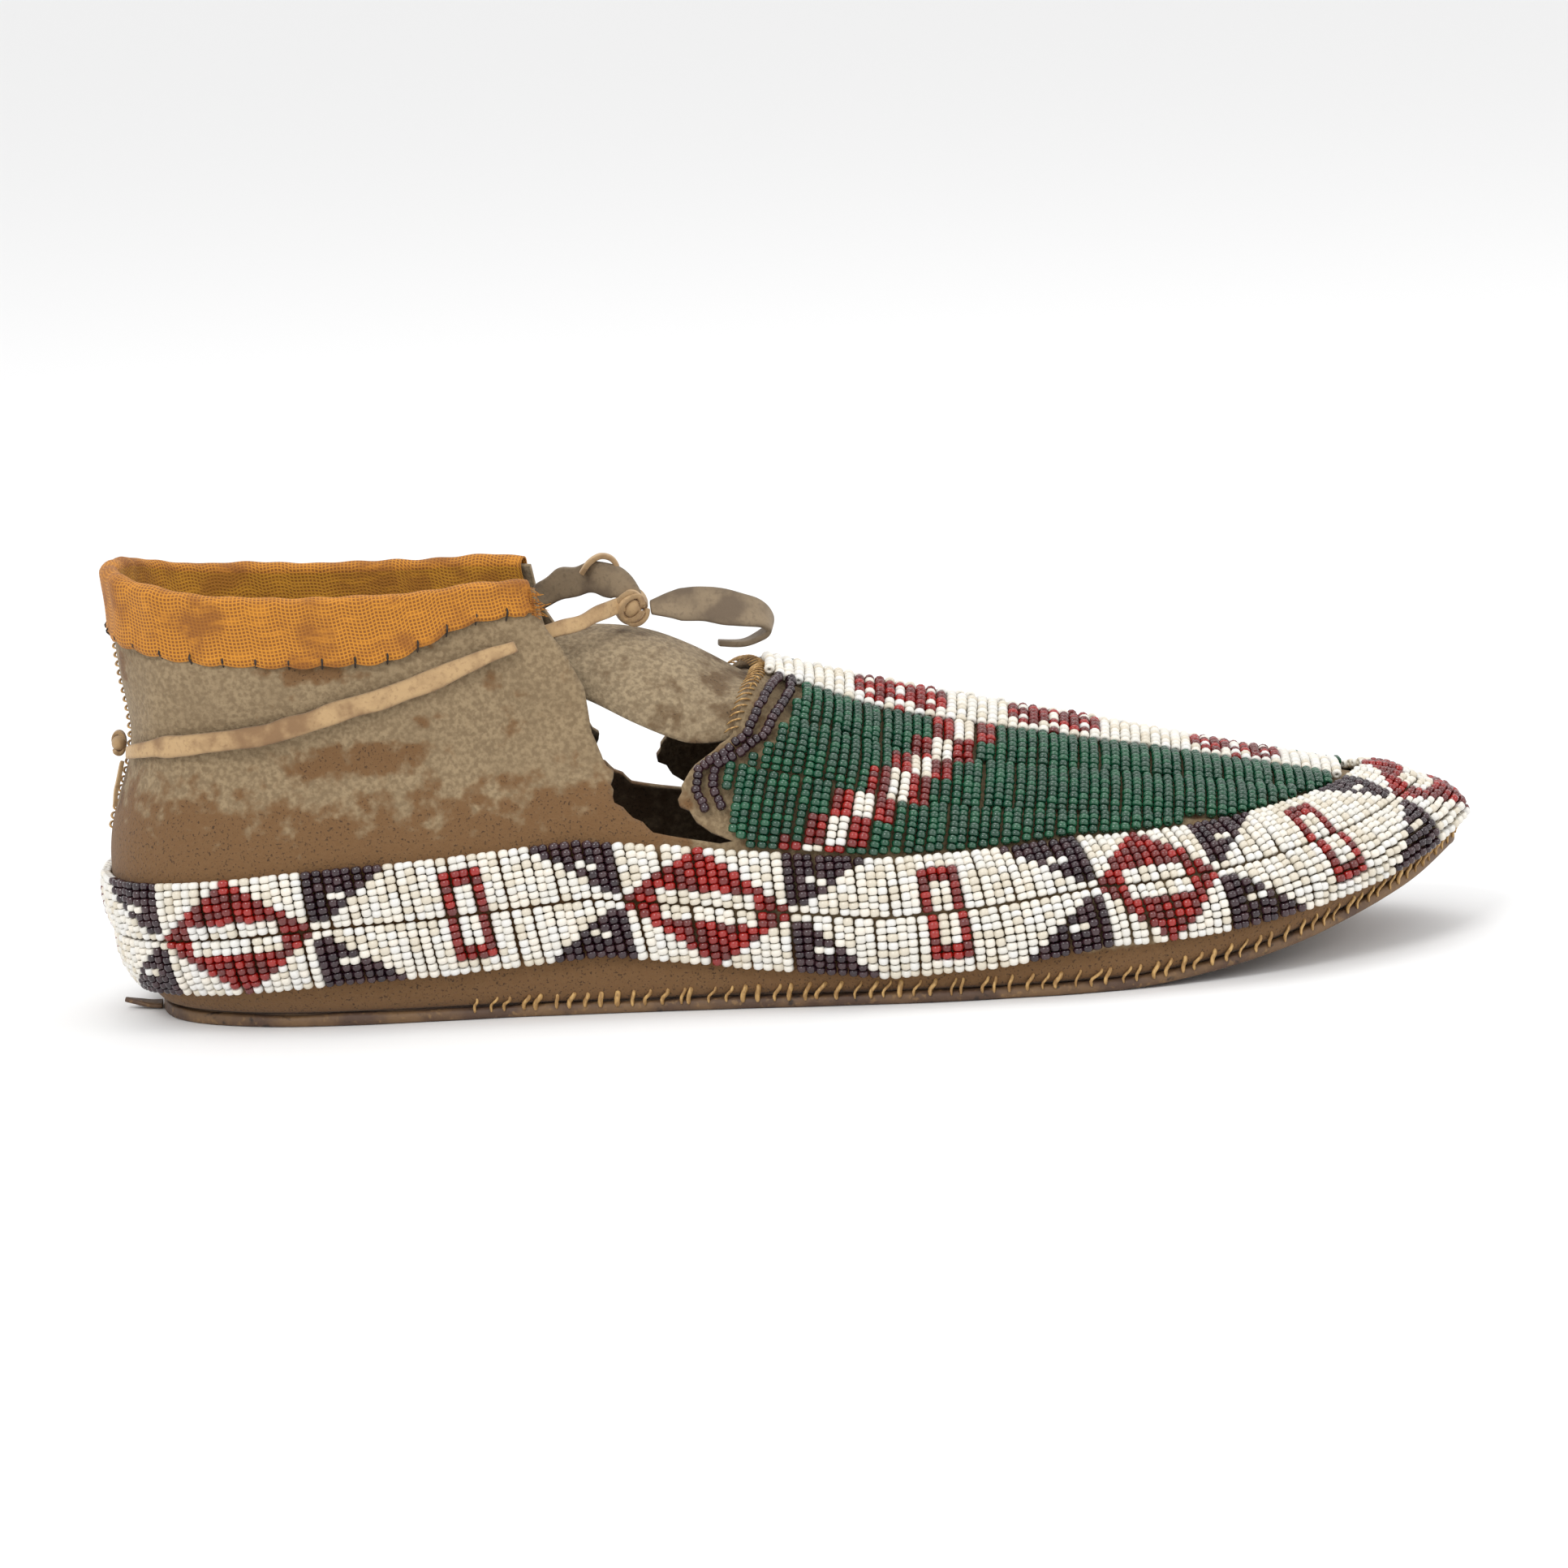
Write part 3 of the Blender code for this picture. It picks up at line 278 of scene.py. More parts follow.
class Paint:
    """A Principled material built up node by node, with patterns in metres on the piece."""

    def __init__(self, name, colour, roughness, **constants):
        self.material = bpy.data.materials.new(name)
        self.material.use_nodes = True
        self.nodes = self.material.node_tree.nodes
        self.links = self.material.node_tree.links
        self.shader = self.nodes["Principled BSDF"]
        self.shader.inputs["Base Color"].default_value = (*colour, 1)
        self.shader.inputs["Roughness"].default_value = roughness
        for socket, value in constants.items():
            self.shader.inputs[socket.replace("_", " ").title()].default_value = value
        self.place = self.nodes.new("ShaderNodeTexCoord").outputs["Object"]
        self.last_bump = None

    def noise(self, size, detail=3.0, stretch=(1, 1, 1), place=None):
        """Noise with features of about one size, in millimetres."""
        mapping = self.nodes.new("ShaderNodeMapping")
        mapping.inputs["Scale"].default_value = stretch
        self.links.new(place or self.place, mapping.inputs["Vector"])
        node = self.nodes.new("ShaderNodeTexNoise")
        node.inputs["Scale"].default_value = 1 / (size * MILLIMETRE)
        node.inputs["Detail"].default_value = detail
        self.links.new(mapping.outputs["Vector"], node.inputs["Vector"])
        return node.outputs["Fac"]

    def attribute(self, name):
        node = self.nodes.new("ShaderNodeAttribute")
        node.attribute_name = name
        return node.outputs["Fac"]

    def uv(self):
        return self.nodes.new("ShaderNodeUVMap").outputs["UV"]

    def waves(self, place, pitch, axis):
        """Threads of a weave, one every pitch metres of the UV map along an axis."""
        split = self.nodes.new("ShaderNodeSeparateXYZ")
        self.links.new(place, split.inputs["Vector"])
        turn = self.maths("MULTIPLY", split.outputs[axis], 2 * math.pi / pitch)
        return self.maths("MULTIPLY_ADD", self.maths("SINE", turn), 0.5, 0.5)

    def maths(self, operation, first, second=None, third=None):
        node = self.nodes.new("ShaderNodeMath")
        node.operation = operation
        for socket, value in zip(node.inputs, (first, second, third)):
            if value is None:
                continue
            if isinstance(value, (int, float)):
                socket.default_value = value
            else:
                self.links.new(value, socket)
        return node.outputs["Value"]

    def step(self, value, low, high):
        """0 below low, 1 above high, and smooth between them."""
        node = self.nodes.new("ShaderNodeMapRange")
        node.interpolation_type = "SMOOTHSTEP"
        self.links.new(value, node.inputs["Value"])
        node.inputs["From Min"].default_value = low
        node.inputs["From Max"].default_value = high
        return node.outputs["Result"]

    def mix(self, share, first, second):
        node = self.nodes.new("ShaderNodeMix")
        node.data_type = "RGBA"
        if isinstance(share, (int, float)):
            node.inputs[0].default_value = share
        else:
            self.links.new(share, node.inputs[0])
        for socket, value in zip((node.inputs[6], node.inputs[7]), (first, second)):
            if isinstance(value, tuple):
                socket.default_value = (*value, 1)
            else:
                self.links.new(value, socket)
        return node.outputs[2]

    def colour(self, value):
        self.links.new(value, self.shader.inputs["Base Color"])

    def bump(self, height, depth, strength=1.0):
        """Adds a bump of a depth in millimetres on top of those already there."""
        node = self.nodes.new("ShaderNodeBump")
        node.inputs["Strength"].default_value = strength
        node.inputs["Distance"].default_value = depth * MILLIMETRE
        self.links.new(height, node.inputs["Height"])
        if self.last_bump is not None:
            self.links.new(self.last_bump, node.inputs["Normal"])
        self.last_bump = node.outputs["Normal"]
        self.links.new(self.last_bump, self.shader.inputs["Normal"])


def hide_paint(name, light, dark, brown):
    """Napped hide: grey-tan above, brown with wear and dirt lower down and in stains."""
    paint = Paint(name, light, 0.95, sheen_weight=0.06, sheen_roughness=0.6)
    fine = paint.noise(0.9, 4)
    broad = paint.noise(9, 3)
    speck = paint.noise(0.45, 2)
    nap = paint.mix(paint.step(fine, 0.35, 0.68), dark, light)
    nap = paint.mix(paint.maths("MULTIPLY", paint.step(broad, 0.4, 0.7), 0.35), nap, dark)
    ragged = paint.maths("MULTIPLY_ADD", paint.noise(3.5, 4), 2.0, -1.0)
    soil = paint.maths("ADD", paint.attribute("soil"), ragged)
    stained = paint.mix(paint.maths("MULTIPLY", paint.step(soil, 0.25, 0.75), 0.92), nap, brown)
    darkest = tuple(0.35 * c for c in brown)
    flecked = paint.maths("MULTIPLY", paint.step(speck, 0.56, 0.7), paint.step(soil, 0.3, 0.9))
    paint.colour(paint.mix(flecked, stained, darkest))
    paint.bump(paint.noise(5, 3), 0.5, 0.35)
    paint.bump(fine, 0.35, 0.55)
    paint.bump(speck, 0.15, 0.6)
    return paint.material


def rawhide_paint():
    paint = Paint("rawhide", (0.10, 0.055, 0.03), 0.62)
    broad = paint.noise(12, 4)
    fine = paint.noise(1.2, 4)
    worn = paint.mix(paint.step(broad, 0.42, 0.62), (0.085, 0.045, 0.026), (0.17, 0.095, 0.042))
    worn = paint.mix(paint.maths("MULTIPLY", paint.step(fine, 0.55, 0.72), 0.6), worn,
                     (0.27, 0.155, 0.06))
    worn = paint.mix(paint.step(paint.noise(2.5, 3), 0.60, 0.74), worn, (0.03, 0.018, 0.012))
    paint.colour(worn)
    paint.bump(broad, 0.6, 0.4)
    paint.bump(fine, 0.3, 0.7)
    return paint.material


def cloth_paint(name, main, dark):
    """Plain-woven cotton: its threads run along the strip and across it."""
    paint = Paint(name, main, 0.9, sheen_weight=0.05)
    place = paint.uv()
    weft = paint.waves(place, 0.00072, "X")
    warp = paint.waves(place, 0.00066, "Y")
    weave = paint.maths("MAXIMUM", weft, warp)
    cover = paint.mix(paint.step(weave, 0.45, 0.95), dark, main)
    faded = paint.mix(paint.maths("MULTIPLY", paint.step(paint.noise(8, 4), 0.46, 0.66), 0.75),
                      cover, dark)
    slub = paint.noise(1.6, 3, stretch=(0.25, 1, 1))
    paint.colour(paint.mix(paint.maths("MULTIPLY", paint.step(slub, 0.5, 0.7), 0.3), faded,
                           tuple(min(1, 1.35 * c) for c in main)))
    paint.bump(paint.noise(4, 2), 0.35, 0.4)
    paint.bump(weave, 0.14, 0.8)
    return paint.material


def thong_paint(name, light, dark):
    """A flat cut thong: pale skin with darker rubbed patches and a fibrous surface."""
    paint = Paint(name, light, 0.8, sheen_weight=0.15)
    patch = paint.noise(6, 4)
    fibre = paint.noise(0.8, 4)
    worn = paint.mix(paint.step(patch, 0.42, 0.66), light, dark)
    worn = paint.mix(paint.maths("MULTIPLY", paint.step(fibre, 0.5, 0.72), 0.5), worn, dark)
    edge = paint.attribute("edge")
    paint.colour(paint.mix(paint.maths("MULTIPLY", edge, 0.45), worn,
                           tuple(0.5 * c for c in dark)))
    paint.bump(fibre, 0.2, 0.6)
    paint.bump(paint.noise(2.5, 2), 0.25, 0.4)
    return paint.material


def fibre_paint(name, light, dark, roughness, size):
    """Sinew or cotton thread: fine strands, lighter where it is rubbed."""
    paint = Paint(name, light, roughness)
    strand = paint.noise(size, 3, stretch=(1, 1, 0.4))
    paint.colour(paint.mix(paint.step(strand, 0.35, 0.7), dark, light))
    paint.bump(strand, 0.1, 0.6)
    return paint.material


def glass_paints(name, colours, roughness, coat):
    """Beads from many strings: each shade of glass is its own material."""
    paints = []
    for number, colour in enumerate(colours):
        paint = Paint(f"{name}_{number}", colour, roughness, coat_weight=coat,
                      coat_roughness=0.08)
        paints.append(paint.material)
    return paints


HIDE_OUT = hide_paint("hide_outer", (0.30, 0.218, 0.122), (0.19, 0.13, 0.068), (0.150, 0.071, 0.022))
# The inner face of the hide is coloured darker than the outer face: painted shade for the shoe's dark
# inside.
HIDE_IN_SHADED = hide_paint("hide_inner", (0.20, 0.15, 0.09), (0.12, 0.085, 0.05), (0.08, 0.045, 0.02))
TONGUE_HIDE = hide_paint("tongue_hide", (0.33, 0.25, 0.15), (0.20, 0.145, 0.083), (0.12, 0.07, 0.03))
RAWHIDE = rawhide_paint()
CLOTH_OUT = cloth_paint("cloth_outer", (0.54, 0.215, 0.018), (0.24, 0.080, 0.010))
CLOTH_IN = cloth_paint("cloth_inner", (0.52, 0.235, 0.015), (0.30, 0.11, 0.008))
THONG = thong_paint("thong", (0.46, 0.30, 0.145), (0.24, 0.135, 0.06))
STRAP = thong_paint("strap", (0.24, 0.175, 0.105), (0.13, 0.09, 0.055))
SINEW = fibre_paint("sinew", (0.58, 0.36, 0.13), (0.30, 0.16, 0.05), 0.5, 0.6)
DARK_THREAD = fibre_paint("dark_thread", (0.05, 0.032, 0.022), (0.015, 0.01, 0.008), 0.8, 0.3)
BEAD_GLASS = {
    "white": glass_paints("white_glass", ((0.77, 0.735, 0.66), (0.72, 0.695, 0.635), (0.78, 0.73, 0.64),
                                          (0.66, 0.60, 0.49), (0.75, 0.735, 0.70)), 0.30, 0.25),
    "green": glass_paints("green_glass", ((0.005, 0.062, 0.028), (0.004, 0.045, 0.022),
                                          (0.010, 0.085, 0.038), (0.014, 0.058, 0.032)), 0.16, 0.4),
    "red": glass_paints("red_glass", ((0.22, 0.008, 0.006), (0.15, 0.010, 0.008),
                                      (0.31, 0.010, 0.006), (0.12, 0.016, 0.014)), 0.18, 0.4),
    "purple": glass_paints("purple_glass", ((0.026, 0.008, 0.013), (0.018, 0.006, 0.010),
                                            (0.042, 0.016, 0.020)), 0.2, 0.4),
}


# ---------------------------------------------------------------- meshes

def add_piece(name, points, faces, materials, body="shoe", replaces=(), face_materials=None,
              attributes=None, uvs=None, subdivide=0):
    """One visible piece from points in millimetres: its mesh, its finish and the body it rides on."""
    points = np.asarray(points, float).reshape(-1, 3) * MILLIMETRE
    mesh = bpy.data.meshes.new(name)
    if isinstance(faces, np.ndarray):
        fill_mesh(mesh, points, faces)
    else:
        mesh.from_pydata(points.tolist(), [], faces)
    for material in materials:
        mesh.materials.append(material)
    if face_materials is not None:
        mesh.polygons.foreach_set("material_index", np.asarray(face_materials, np.int32))
    for key, values in (attributes or {}).items():
        layer = mesh.attributes.new(key, "FLOAT", "POINT")
        layer.data.foreach_set("value", np.asarray(values, np.float32))
    if uvs is not None:
        layer = mesh.uv_layers.new(name="UVMap")
        corners = np.zeros(len(mesh.loops), np.int32)
        mesh.loops.foreach_get("vertex_index", corners)
        layer.data.foreach_set("uv", np.asarray(uvs, np.float32)[corners].ravel())
    mesh.polygons.foreach_set("use_smooth", np.ones(len(mesh.polygons), bool))
    mesh.update()
    piece = bpy.data.objects.new(name, mesh)
    bpy.context.scene.collection.objects.link(piece)
    if subdivide:
        rounded = piece.modifiers.new("round", "SUBSURF")
        rounded.levels = subdivide
        rounded.render_levels = subdivide
    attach(piece, body)
    if replaces:
        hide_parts(*replaces)
    return piece


def fill_mesh(mesh, points, quads):
    """Points and four-cornered faces straight from arrays."""
    mesh.vertices.add(len(points))
    mesh.vertices.foreach_set("co", points.astype(np.float32).ravel())
    mesh.loops.add(quads.size)
    mesh.loops.foreach_set("vertex_index", quads.astype(np.int32).ravel())
    mesh.polygons.add(len(quads))
    mesh.polygons.foreach_set("loop_start", np.arange(0, quads.size, 4, dtype=np.int32))
    mesh.validate()


def grid_quads(rows, columns, wrap=False):
    """Quads of a grid of points, row by row; wrap joins each row's end to its start."""
    across = columns if wrap else columns - 1
    row, column = np.meshgrid(np.arange(rows - 1), np.arange(across), indexing="ij")
    here = row * columns + column
    beside = row * columns + (column + 1) % columns
    return np.stack([here, beside, beside + columns, here + columns], -1).reshape(-1, 4)


def close_ends(rows, columns):
    """Fans that close both ends of a tube made of rows of points."""
    first = tuple(reversed(range(columns)))
    last = tuple(range((rows - 1) * columns, rows * columns))
    return [first, last]


def outward(points, faces):
    """The faces, turned over if they look inward."""
    points = np.asarray(points, float).reshape(-1, 3)
    middle = points.mean(axis=0)
    total = 0.0
    for face in faces:
        a, b, c = (points[face[k]] - middle for k in (0, 1, 2))
        total += np.dot(a, np.cross(b, c))
    return [tuple(reversed(face)) for face in faces] if total < 0 else faces


def tube_parts(path, radii, sides, start_way=(0, 0, 1), flatness=1.0):
    """Points and faces of a closed tube along a path, with a radius at each point."""
    path = np.asarray(path, float)
    tangents = unit(np.gradient(path, axis=0))
    first = np.zeros_like(path)
    carried = np.asarray(start_way, float)
    for k, tangent in enumerate(tangents):
        carried = carried - tangent * np.dot(carried, tangent)
        if np.linalg.norm(carried) < 1e-3:
            carried = np.cross(tangent, (0.3, 1, 0.2))
        carried = unit(carried)
        first[k] = carried
    second = np.cross(tangents, first)
    angles = np.linspace(0, 2 * math.pi, sides, endpoint=False)
    radii = np.broadcast_to(radii, len(path))
    ring = (np.cos(angles)[None, :, None] * first[:, None] * flatness
            + np.sin(angles)[None, :, None] * second[:, None])
    points = path[:, None] + ring * radii[:, None, None]
    faces = [tuple(int(i) for i in quad) for quad in grid_quads(len(path), sides, wrap=True)]
    faces += close_ends(len(path), sides)
    return points.reshape(-1, 3), outward(points, faces)


def join_parts(parts):
    """Several sets of points and faces as one."""
    points, faces, count = [], [], 0
    for some_points, some_faces in parts:
        points.append(some_points)
        faces += [tuple(i + count for i in face) for face in some_faces]
        count += len(some_points)
    return np.concatenate(points), faces


STRAP_SECTION = ((-0.5, -0.28), (-0.44, -0.46), (-0.30, -0.5), (0, -0.5), (0.30, -0.5), (0.44, -0.46),
                 (0.5, -0.28), (0.5, 0.28), (0.44, 0.46), (0.30, 0.5), (0, 0.5), (-0.30, 0.5),
                 (-0.44, 0.46), (-0.5, 0.28))


def strap_parts(path, across, widths, thickness, steps, seed, cup=0.0):
    """A soft-edged strip of leather along a smooth path, with uneven edges and a slight cup."""
    way = smooth_path(path, steps)
    width_ways = smooth_path(across, steps)
    shares = np.linspace(0, 1, steps)
    given = np.linspace(0, 1, len(np.atleast_1d(widths))) if np.ndim(widths) else None
    width = np.interp(shares, given, widths) if given is not None else np.full(steps, widths)
    tangents = unit(np.gradient(way, axis=0))
    width_ways = unit(width_ways - tangents * np.sum(width_ways * tangents, 1)[:, None])
    face_ways = np.cross(tangents, width_ways)
    section = np.asarray(STRAP_SECTION)
    left = 1 + 0.10 * ripple(way, 4.0, seed)
    right = 1 + 0.10 * ripple(way, 4.0, seed + 1)
    sides = np.where(section[None, :, 0] < 0, left[:, None], right[:, None])
    out = section[None, :, 0] * sides * width[:, None]
    lift = section[None, :, 1] * thickness + cup * (out ** 2) / np.maximum(width[:, None], 0.5)
    lift = lift + 0.10 * ripple(way, 3.0, seed + 2)[:, None]
    points = way[:, None] + width_ways[:, None] * out[..., None] + face_ways[:, None] * lift[..., None]
    size = len(section)
    faces = [tuple(int(i) for i in quad) for quad in grid_quads(steps, size, wrap=True)]
    faces += close_ends(steps, size)
    edges = np.broadcast_to(np.clip((np.abs(section[:, 0]) - 0.38) / 0.12, 0, 1), (steps, size))
    return points.reshape(-1, 3), outward(points, faces), edges.ravel()


def add_strap(name, path, across, widths, thickness, steps, seed, material, body, replaces,
              cup=0.0):
    points, faces, edges = strap_parts(path, across, widths, thickness, steps, seed, cup)
    return add_piece(name, points, faces, [material], body=body, replaces=replaces,
                     attributes={"edge": edges}, subdivide=1)


# ---------------------------------------------------------------- sole and hide

def build_sole():
    """Rawhide with a rounded, uneven edge; rings of points from a middle line out to the rim."""
    shares = np.linspace(0, 1, 151)
    rims = []
    for side in SIDES:
        rim = np.stack(outline(side, shares), -1)
        ahead = np.stack(outline(side, shares + 0.001), -1)
        behind = np.stack(outline(side, shares - 0.001), -1)
        step = ahead - behind
        away = unit(np.stack([-side * step[:, 1], side * step[:, 0]], -1))
        rims.append(rim + SOLE_MARGIN * away)
    near, far = rims
    middle = (near + far) / 2
    middle[:, 0] = np.clip(middle[:, 0], -112, 119)
    ring = np.vstack([near, far[-2:0:-1]])
    spine = np.vstack([middle, middle[-2:0:-1]])
    wobble = 1 + 0.004 * ripple(np.column_stack([ring, np.zeros(len(ring))]), 9, 31)
    # Shares of the way out from the middle, and heights through the slab, top face first.
    profile = [(0.0, 1.0), (0.35, 1.0), (0.65, 1.0), (0.85, 1.0), (0.955, 1.0), (0.985, 0.94),
               (0.997, 0.78), (1.0, 0.5), (0.997, 0.22), (0.985, 0.06), (0.955, 0.0),
               (0.85, 0.0), (0.65, 0.0), (0.35, 0.0), (0.0, 0.0)]
    rows = []
    for out, height in profile:
        flat = spine + (ring - spine) * out * (wobble[:, None] if out > 0.9 else 1)
        z = toe_lift(flat[:, 0]) + SOLE_THICKNESS * height
        row = np.column_stack([flat, z])
        if 0 < out < 0.99:
            row[:, 2] += (0.12 if height > 0.5 else -0.0) * ripple(row, 11, 32)
        rows.append(row)
    points = np.array(rows)
    quads = grid_quads(len(profile), len(ring), wrap=True)
    faces = [tuple(int(i) for i in quad) for quad in quads]
    piece = add_piece("sole_rawhide", points, outward(points, faces), [RAWHIDE],
                      replaces=("sole",))
    weld(piece)


def weld(piece, distance=0.02):
    """Joins points that lie in the same place, and drops faces that this flattens."""
    cage = bmesh.new()
    cage.from_mesh(piece.data)
    bmesh.ops.remove_doubles(cage, verts=cage.verts, dist=distance * MILLIMETRE)
    bmesh.ops.dissolve_degenerate(cage, edges=cage.edges, dist=distance * MILLIMETRE / 4)
    bmesh.ops.recalc_face_normals(cage, faces=cage.faces)
    cage.to_mesh(piece.data)
    cage.free()


# Stains: side, share of the seam's length, height share, their two radii in shares, strength.
STAINS = ((NEAR, 0.193, 0.835, 0.040, 0.030, 0.75), (NEAR, 0.033, 0.80, 0.022, 0.040, 0.6),
          (NEAR, 0.215, 0.615, 0.055, 0.050, 0.85), (NEAR, 0.273, 0.713, 0.014, 0.018, 0.6),
          (NEAR, 0.265, 0.640, 0.022, 0.022, 0.7), (NEAR, 0.150, 0.520, 0.030, 0.030, 0.45),
          (NEAR, 0.330, 0.740, 0.020, 0.10, 0.25), (FAR, 0.20, 0.62, 0.06, 0.05, 0.7),
          (FAR, 0.08, 0.80, 0.04, 0.03, 0.5), (FAR, 0.29, 0.80, 0.03, 0.03, 0.5))


def soil_at(side, along, up):
    """How brown the hide is: below the ankle, beside the sole, under the beads and in stains."""
    heel_to_notch = 1 - ease(0.36, 0.46, along)
    soil = 1.15 * (1 - ease(0.34, 0.66, up)) * heel_to_notch
    vamp = 0.22 * (1 - heel_to_notch)
    low = 1.1 * (1 - ease(0.07, 0.13, up))
    total = np.maximum(np.maximum(soil, vamp), low)
    for stain_side, at, height, long, tall, strength in STAINS:
        if stain_side == side:
            away = ((along - at) / long) ** 2 + ((up - height) / tall) ** 2
            total = np.maximum(total, strength * np.exp(-away ** 2))
    return total


def hide_folds(points, along, up):
    """Soft folds and dents, in millimetres, only where the hide is bare."""
    bare_up = ease(0.40, 0.52, up) * (1 - ease(0.93, 1.0, up))
    bare = ease(0.025, 0.07, along) * bare_up * (1 - ease(0.34, 0.40, along))
    sag = 0.7 * ripple(points, 26, 11) + 0.35 * ripple(points, 9, 12)
    corner = ease(0.40, 0.46, up) * ease(0.30, 0.37, along) * (1 - ease(0.37, 0.40, along))
    return bare * sag + corner * 0.3 * ripple(points, 5, 13)


def ragged(edge, up, seed):
    """A cut edge of the hide that wanders a little, kept true where pieces are sewn on."""
    wander = 0.0022 * np.sin(up * 61 + seed) + 0.0014 * np.sin(up * 143 + 2 * seed)
    return edge_at(edge, up) + wander * ease(NOTCH_BOTTOM, 0.40, up) * (1 - ease(0.50, 0.60, up))


# How far the hide's lowest edge settles onto the sole.
SEAM_SETTLE = 0.26


def build_hide():
    """The whole upper as one sheet: heel, sides and vamp, with a notch on each side."""
    behind = np.linspace(0, 1, 101) ** 1.15
    even = np.linspace(0, 1, 111)
    ahead = (even + (1 - np.cos(math.pi * even)) / 2) / 2
    low_ups = NOTCH_BOTTOM * np.linspace(0, 1, 25) ** 1.1
    high_ups = np.linspace(NOTCH_BOTTOM, 1, 49)

    def start(up):
        return np.zeros_like(up)

    def quarter(up):
        return ragged(QUARTER_EDGE, up, 1)

    def throat(up):
        return ragged(THROAT_EDGE, up, 4)

    def end(up):
        return np.ones_like(up)

    patches = ((start, quarter, behind, low_ups), (quarter, throat, np.linspace(0, 1, 4), low_ups),
               (throat, end, ahead, low_ups), (start, quarter, behind, high_ups),
               (throat, end, ahead, high_ups))
    points, faces, soil, count = [], [], [], 0
    for side in SIDES:
        for low, high, spread, ups in patches:
            up = np.repeat(ups[:, None], len(spread), 1)
            along = low(up) + (high(up) - low(up)) * spread[None, :]
            flat = skin(side, along, up)
            normal = skin_normal(side, along, up)
            folds = hide_folds(flat, along, up)
            folded_out = flat + normal * folds[..., None]
            folded_out[..., 2] -= SEAM_SETTLE * (1 - ease(0.0, 0.04, up))
            points.append(folded_out.reshape(-1, 3))
            soil.append(soil_at(side, along, up).ravel())
            quads = grid_quads(len(ups), len(spread)) + count
            faces.append(quads if side == NEAR else quads[:, ::-1])
            count += up.size
    piece = add_piece("hide_upper", np.concatenate(points), np.concatenate(faces),
                      [HIDE_OUT, HIDE_IN_SHADED], replaces=("upper",),
                      attributes={"soil": np.concatenate(soil)})
    weld(piece)
    wall = piece.modifiers.new("thickness", "SOLIDIFY")
    wall.thickness = HIDE * MILLIMETRE
    wall.offset = -1
    # The inner faces take the darker hide material, painted shade for the inside of the shoe.
    wall.material_offset = 1
    wall.material_offset_rim = 0


# ---------------------------------------------------------------- tongue

TONGUE_THICKNESS = 1.2
TONGUE_RIDGE = smooth_path(((-4, -3, 56), (-8, -2.5, 58.7), (-16, -2, 63.4), (-24, -1, 66.7),
                            (-32, 0, 68), (-42, 0, 68)), 101)
TONGUE_EDGE = smooth_path(((-12, 22.0, 46.4), (-20, 20.5, 48.4), (-28, 19, 51.9), (-36, 15.0, 55.9),
                           (-42, 12.5, 57.9)), 101)
TONGUE_FAR_SHARE = 0.80
TONGUE_SIDE_REACH = 0.43


def tongue_point(across, along):
    """The tongue's upper face: across -1 to 1, along 0 at the throat to 1 at its free end."""
    side = NEAR if across < 0 else FAR
    ridge = np.array([np.interp(along, np.linspace(0, 1, 101), TONGUE_RIDGE[:, k]) for k in range(3)])
    edge = np.array([np.interp(along, np.linspace(0, 1, 101), TONGUE_EDGE[:, k]) for k in range(3)])
    edge = edge * (1, side if side == NEAR else TONGUE_FAR_SHARE, 1)
    angle = abs(across) * math.pi / 2
    free = np.array([ridge[0] + (edge[0] - ridge[0]) * abs(across),
                     ridge[1] + (edge[1] - ridge[1]) * math.sin(angle),
                     edge[2] + (ridge[2] - edge[2]) * math.cos(angle)])
    up = 1 - TONGUE_SIDE_REACH * abs(across)
    root = off_skin(side, edge_at(THROAT_EDGE, up), up, -(HIDE + 0.9))
    sewn = 1 - ease(0.0, 0.22, along)
    return root * sewn + free * (1 - sewn)


def build_tongue():
    across = np.linspace(-1, 1, 61)
    along = np.linspace(0, 1, 41)
    top = np.array([[tongue_point(a, b) for a in across] for b in along])
    normal = unit(np.cross(np.gradient(top, axis=1), np.gradient(top, axis=0)))
    normal *= np.sign(normal[:, :, 2:3].mean())
    free = ease(0.15, 0.5, along)[:, None]
    top = top + normal * (0.35 * ripple(top, 12, 21) * free)[..., None]
    low = top - normal * TONGUE_THICKNESS
    edge_wave = 0.6 * ripple(top[-1], 5, 22)
    top[-1, :, 0] += edge_wave
    low[-1, :, 0] += edge_wave
    sections = np.concatenate([top, low[:, ::-1]], axis=1)
    faces = [tuple(int(i) for i in quad)
             for quad in grid_quads(len(along), sections.shape[1], wrap=True)]
    faces += tongue_ends(len(along), len(across))
    soil = np.broadcast_to((0.22 + 0.25 * (1 - free)), (len(along), sections.shape[1]))
    add_piece("tongue_leather", sections, outward(sections, faces), [TONGUE_HIDE], body="tongue",
              replaces=("tongue",), attributes={"soil": soil.ravel()})


def tongue_ends(rows, width):
    """The two cut ends, as quads between the upper and the lower face."""
    ring = 2 * width
    faces = []
    for row in (0, rows - 1):
        for k in range(width - 1):
            face = (row * ring + k, row * ring + k + 1, row * ring + ring - 2 - k,
                    row * ring + ring - 1 - k)
            faces.append(face if row else tuple(reversed(face)))
    return faces


# ---------------------------------------------------------------- cloth binding

BINDING_END = 0.362
CLOTH = 0.9
STITCH_PITCH = 5.9
INNER_STITCH_PITCH = 3.4
BINDING_OUTER_DEPTH = 11.0
BINDING_INNER_DEPTH = 9.0
RIM_POINTS = 421
FRAY_THREADS = 26


def binding_depth(along, deep):
    """The cloth turns down less towards its front ends."""
    return deep - (deep - 5.2) * ease(0.24, 0.33, along)


def rim_place(share):
    """A place on the ankle's edge: negative shares on the near side, positive on the far."""
    return (NEAR, -share) if share < 0 else (FAR, share)


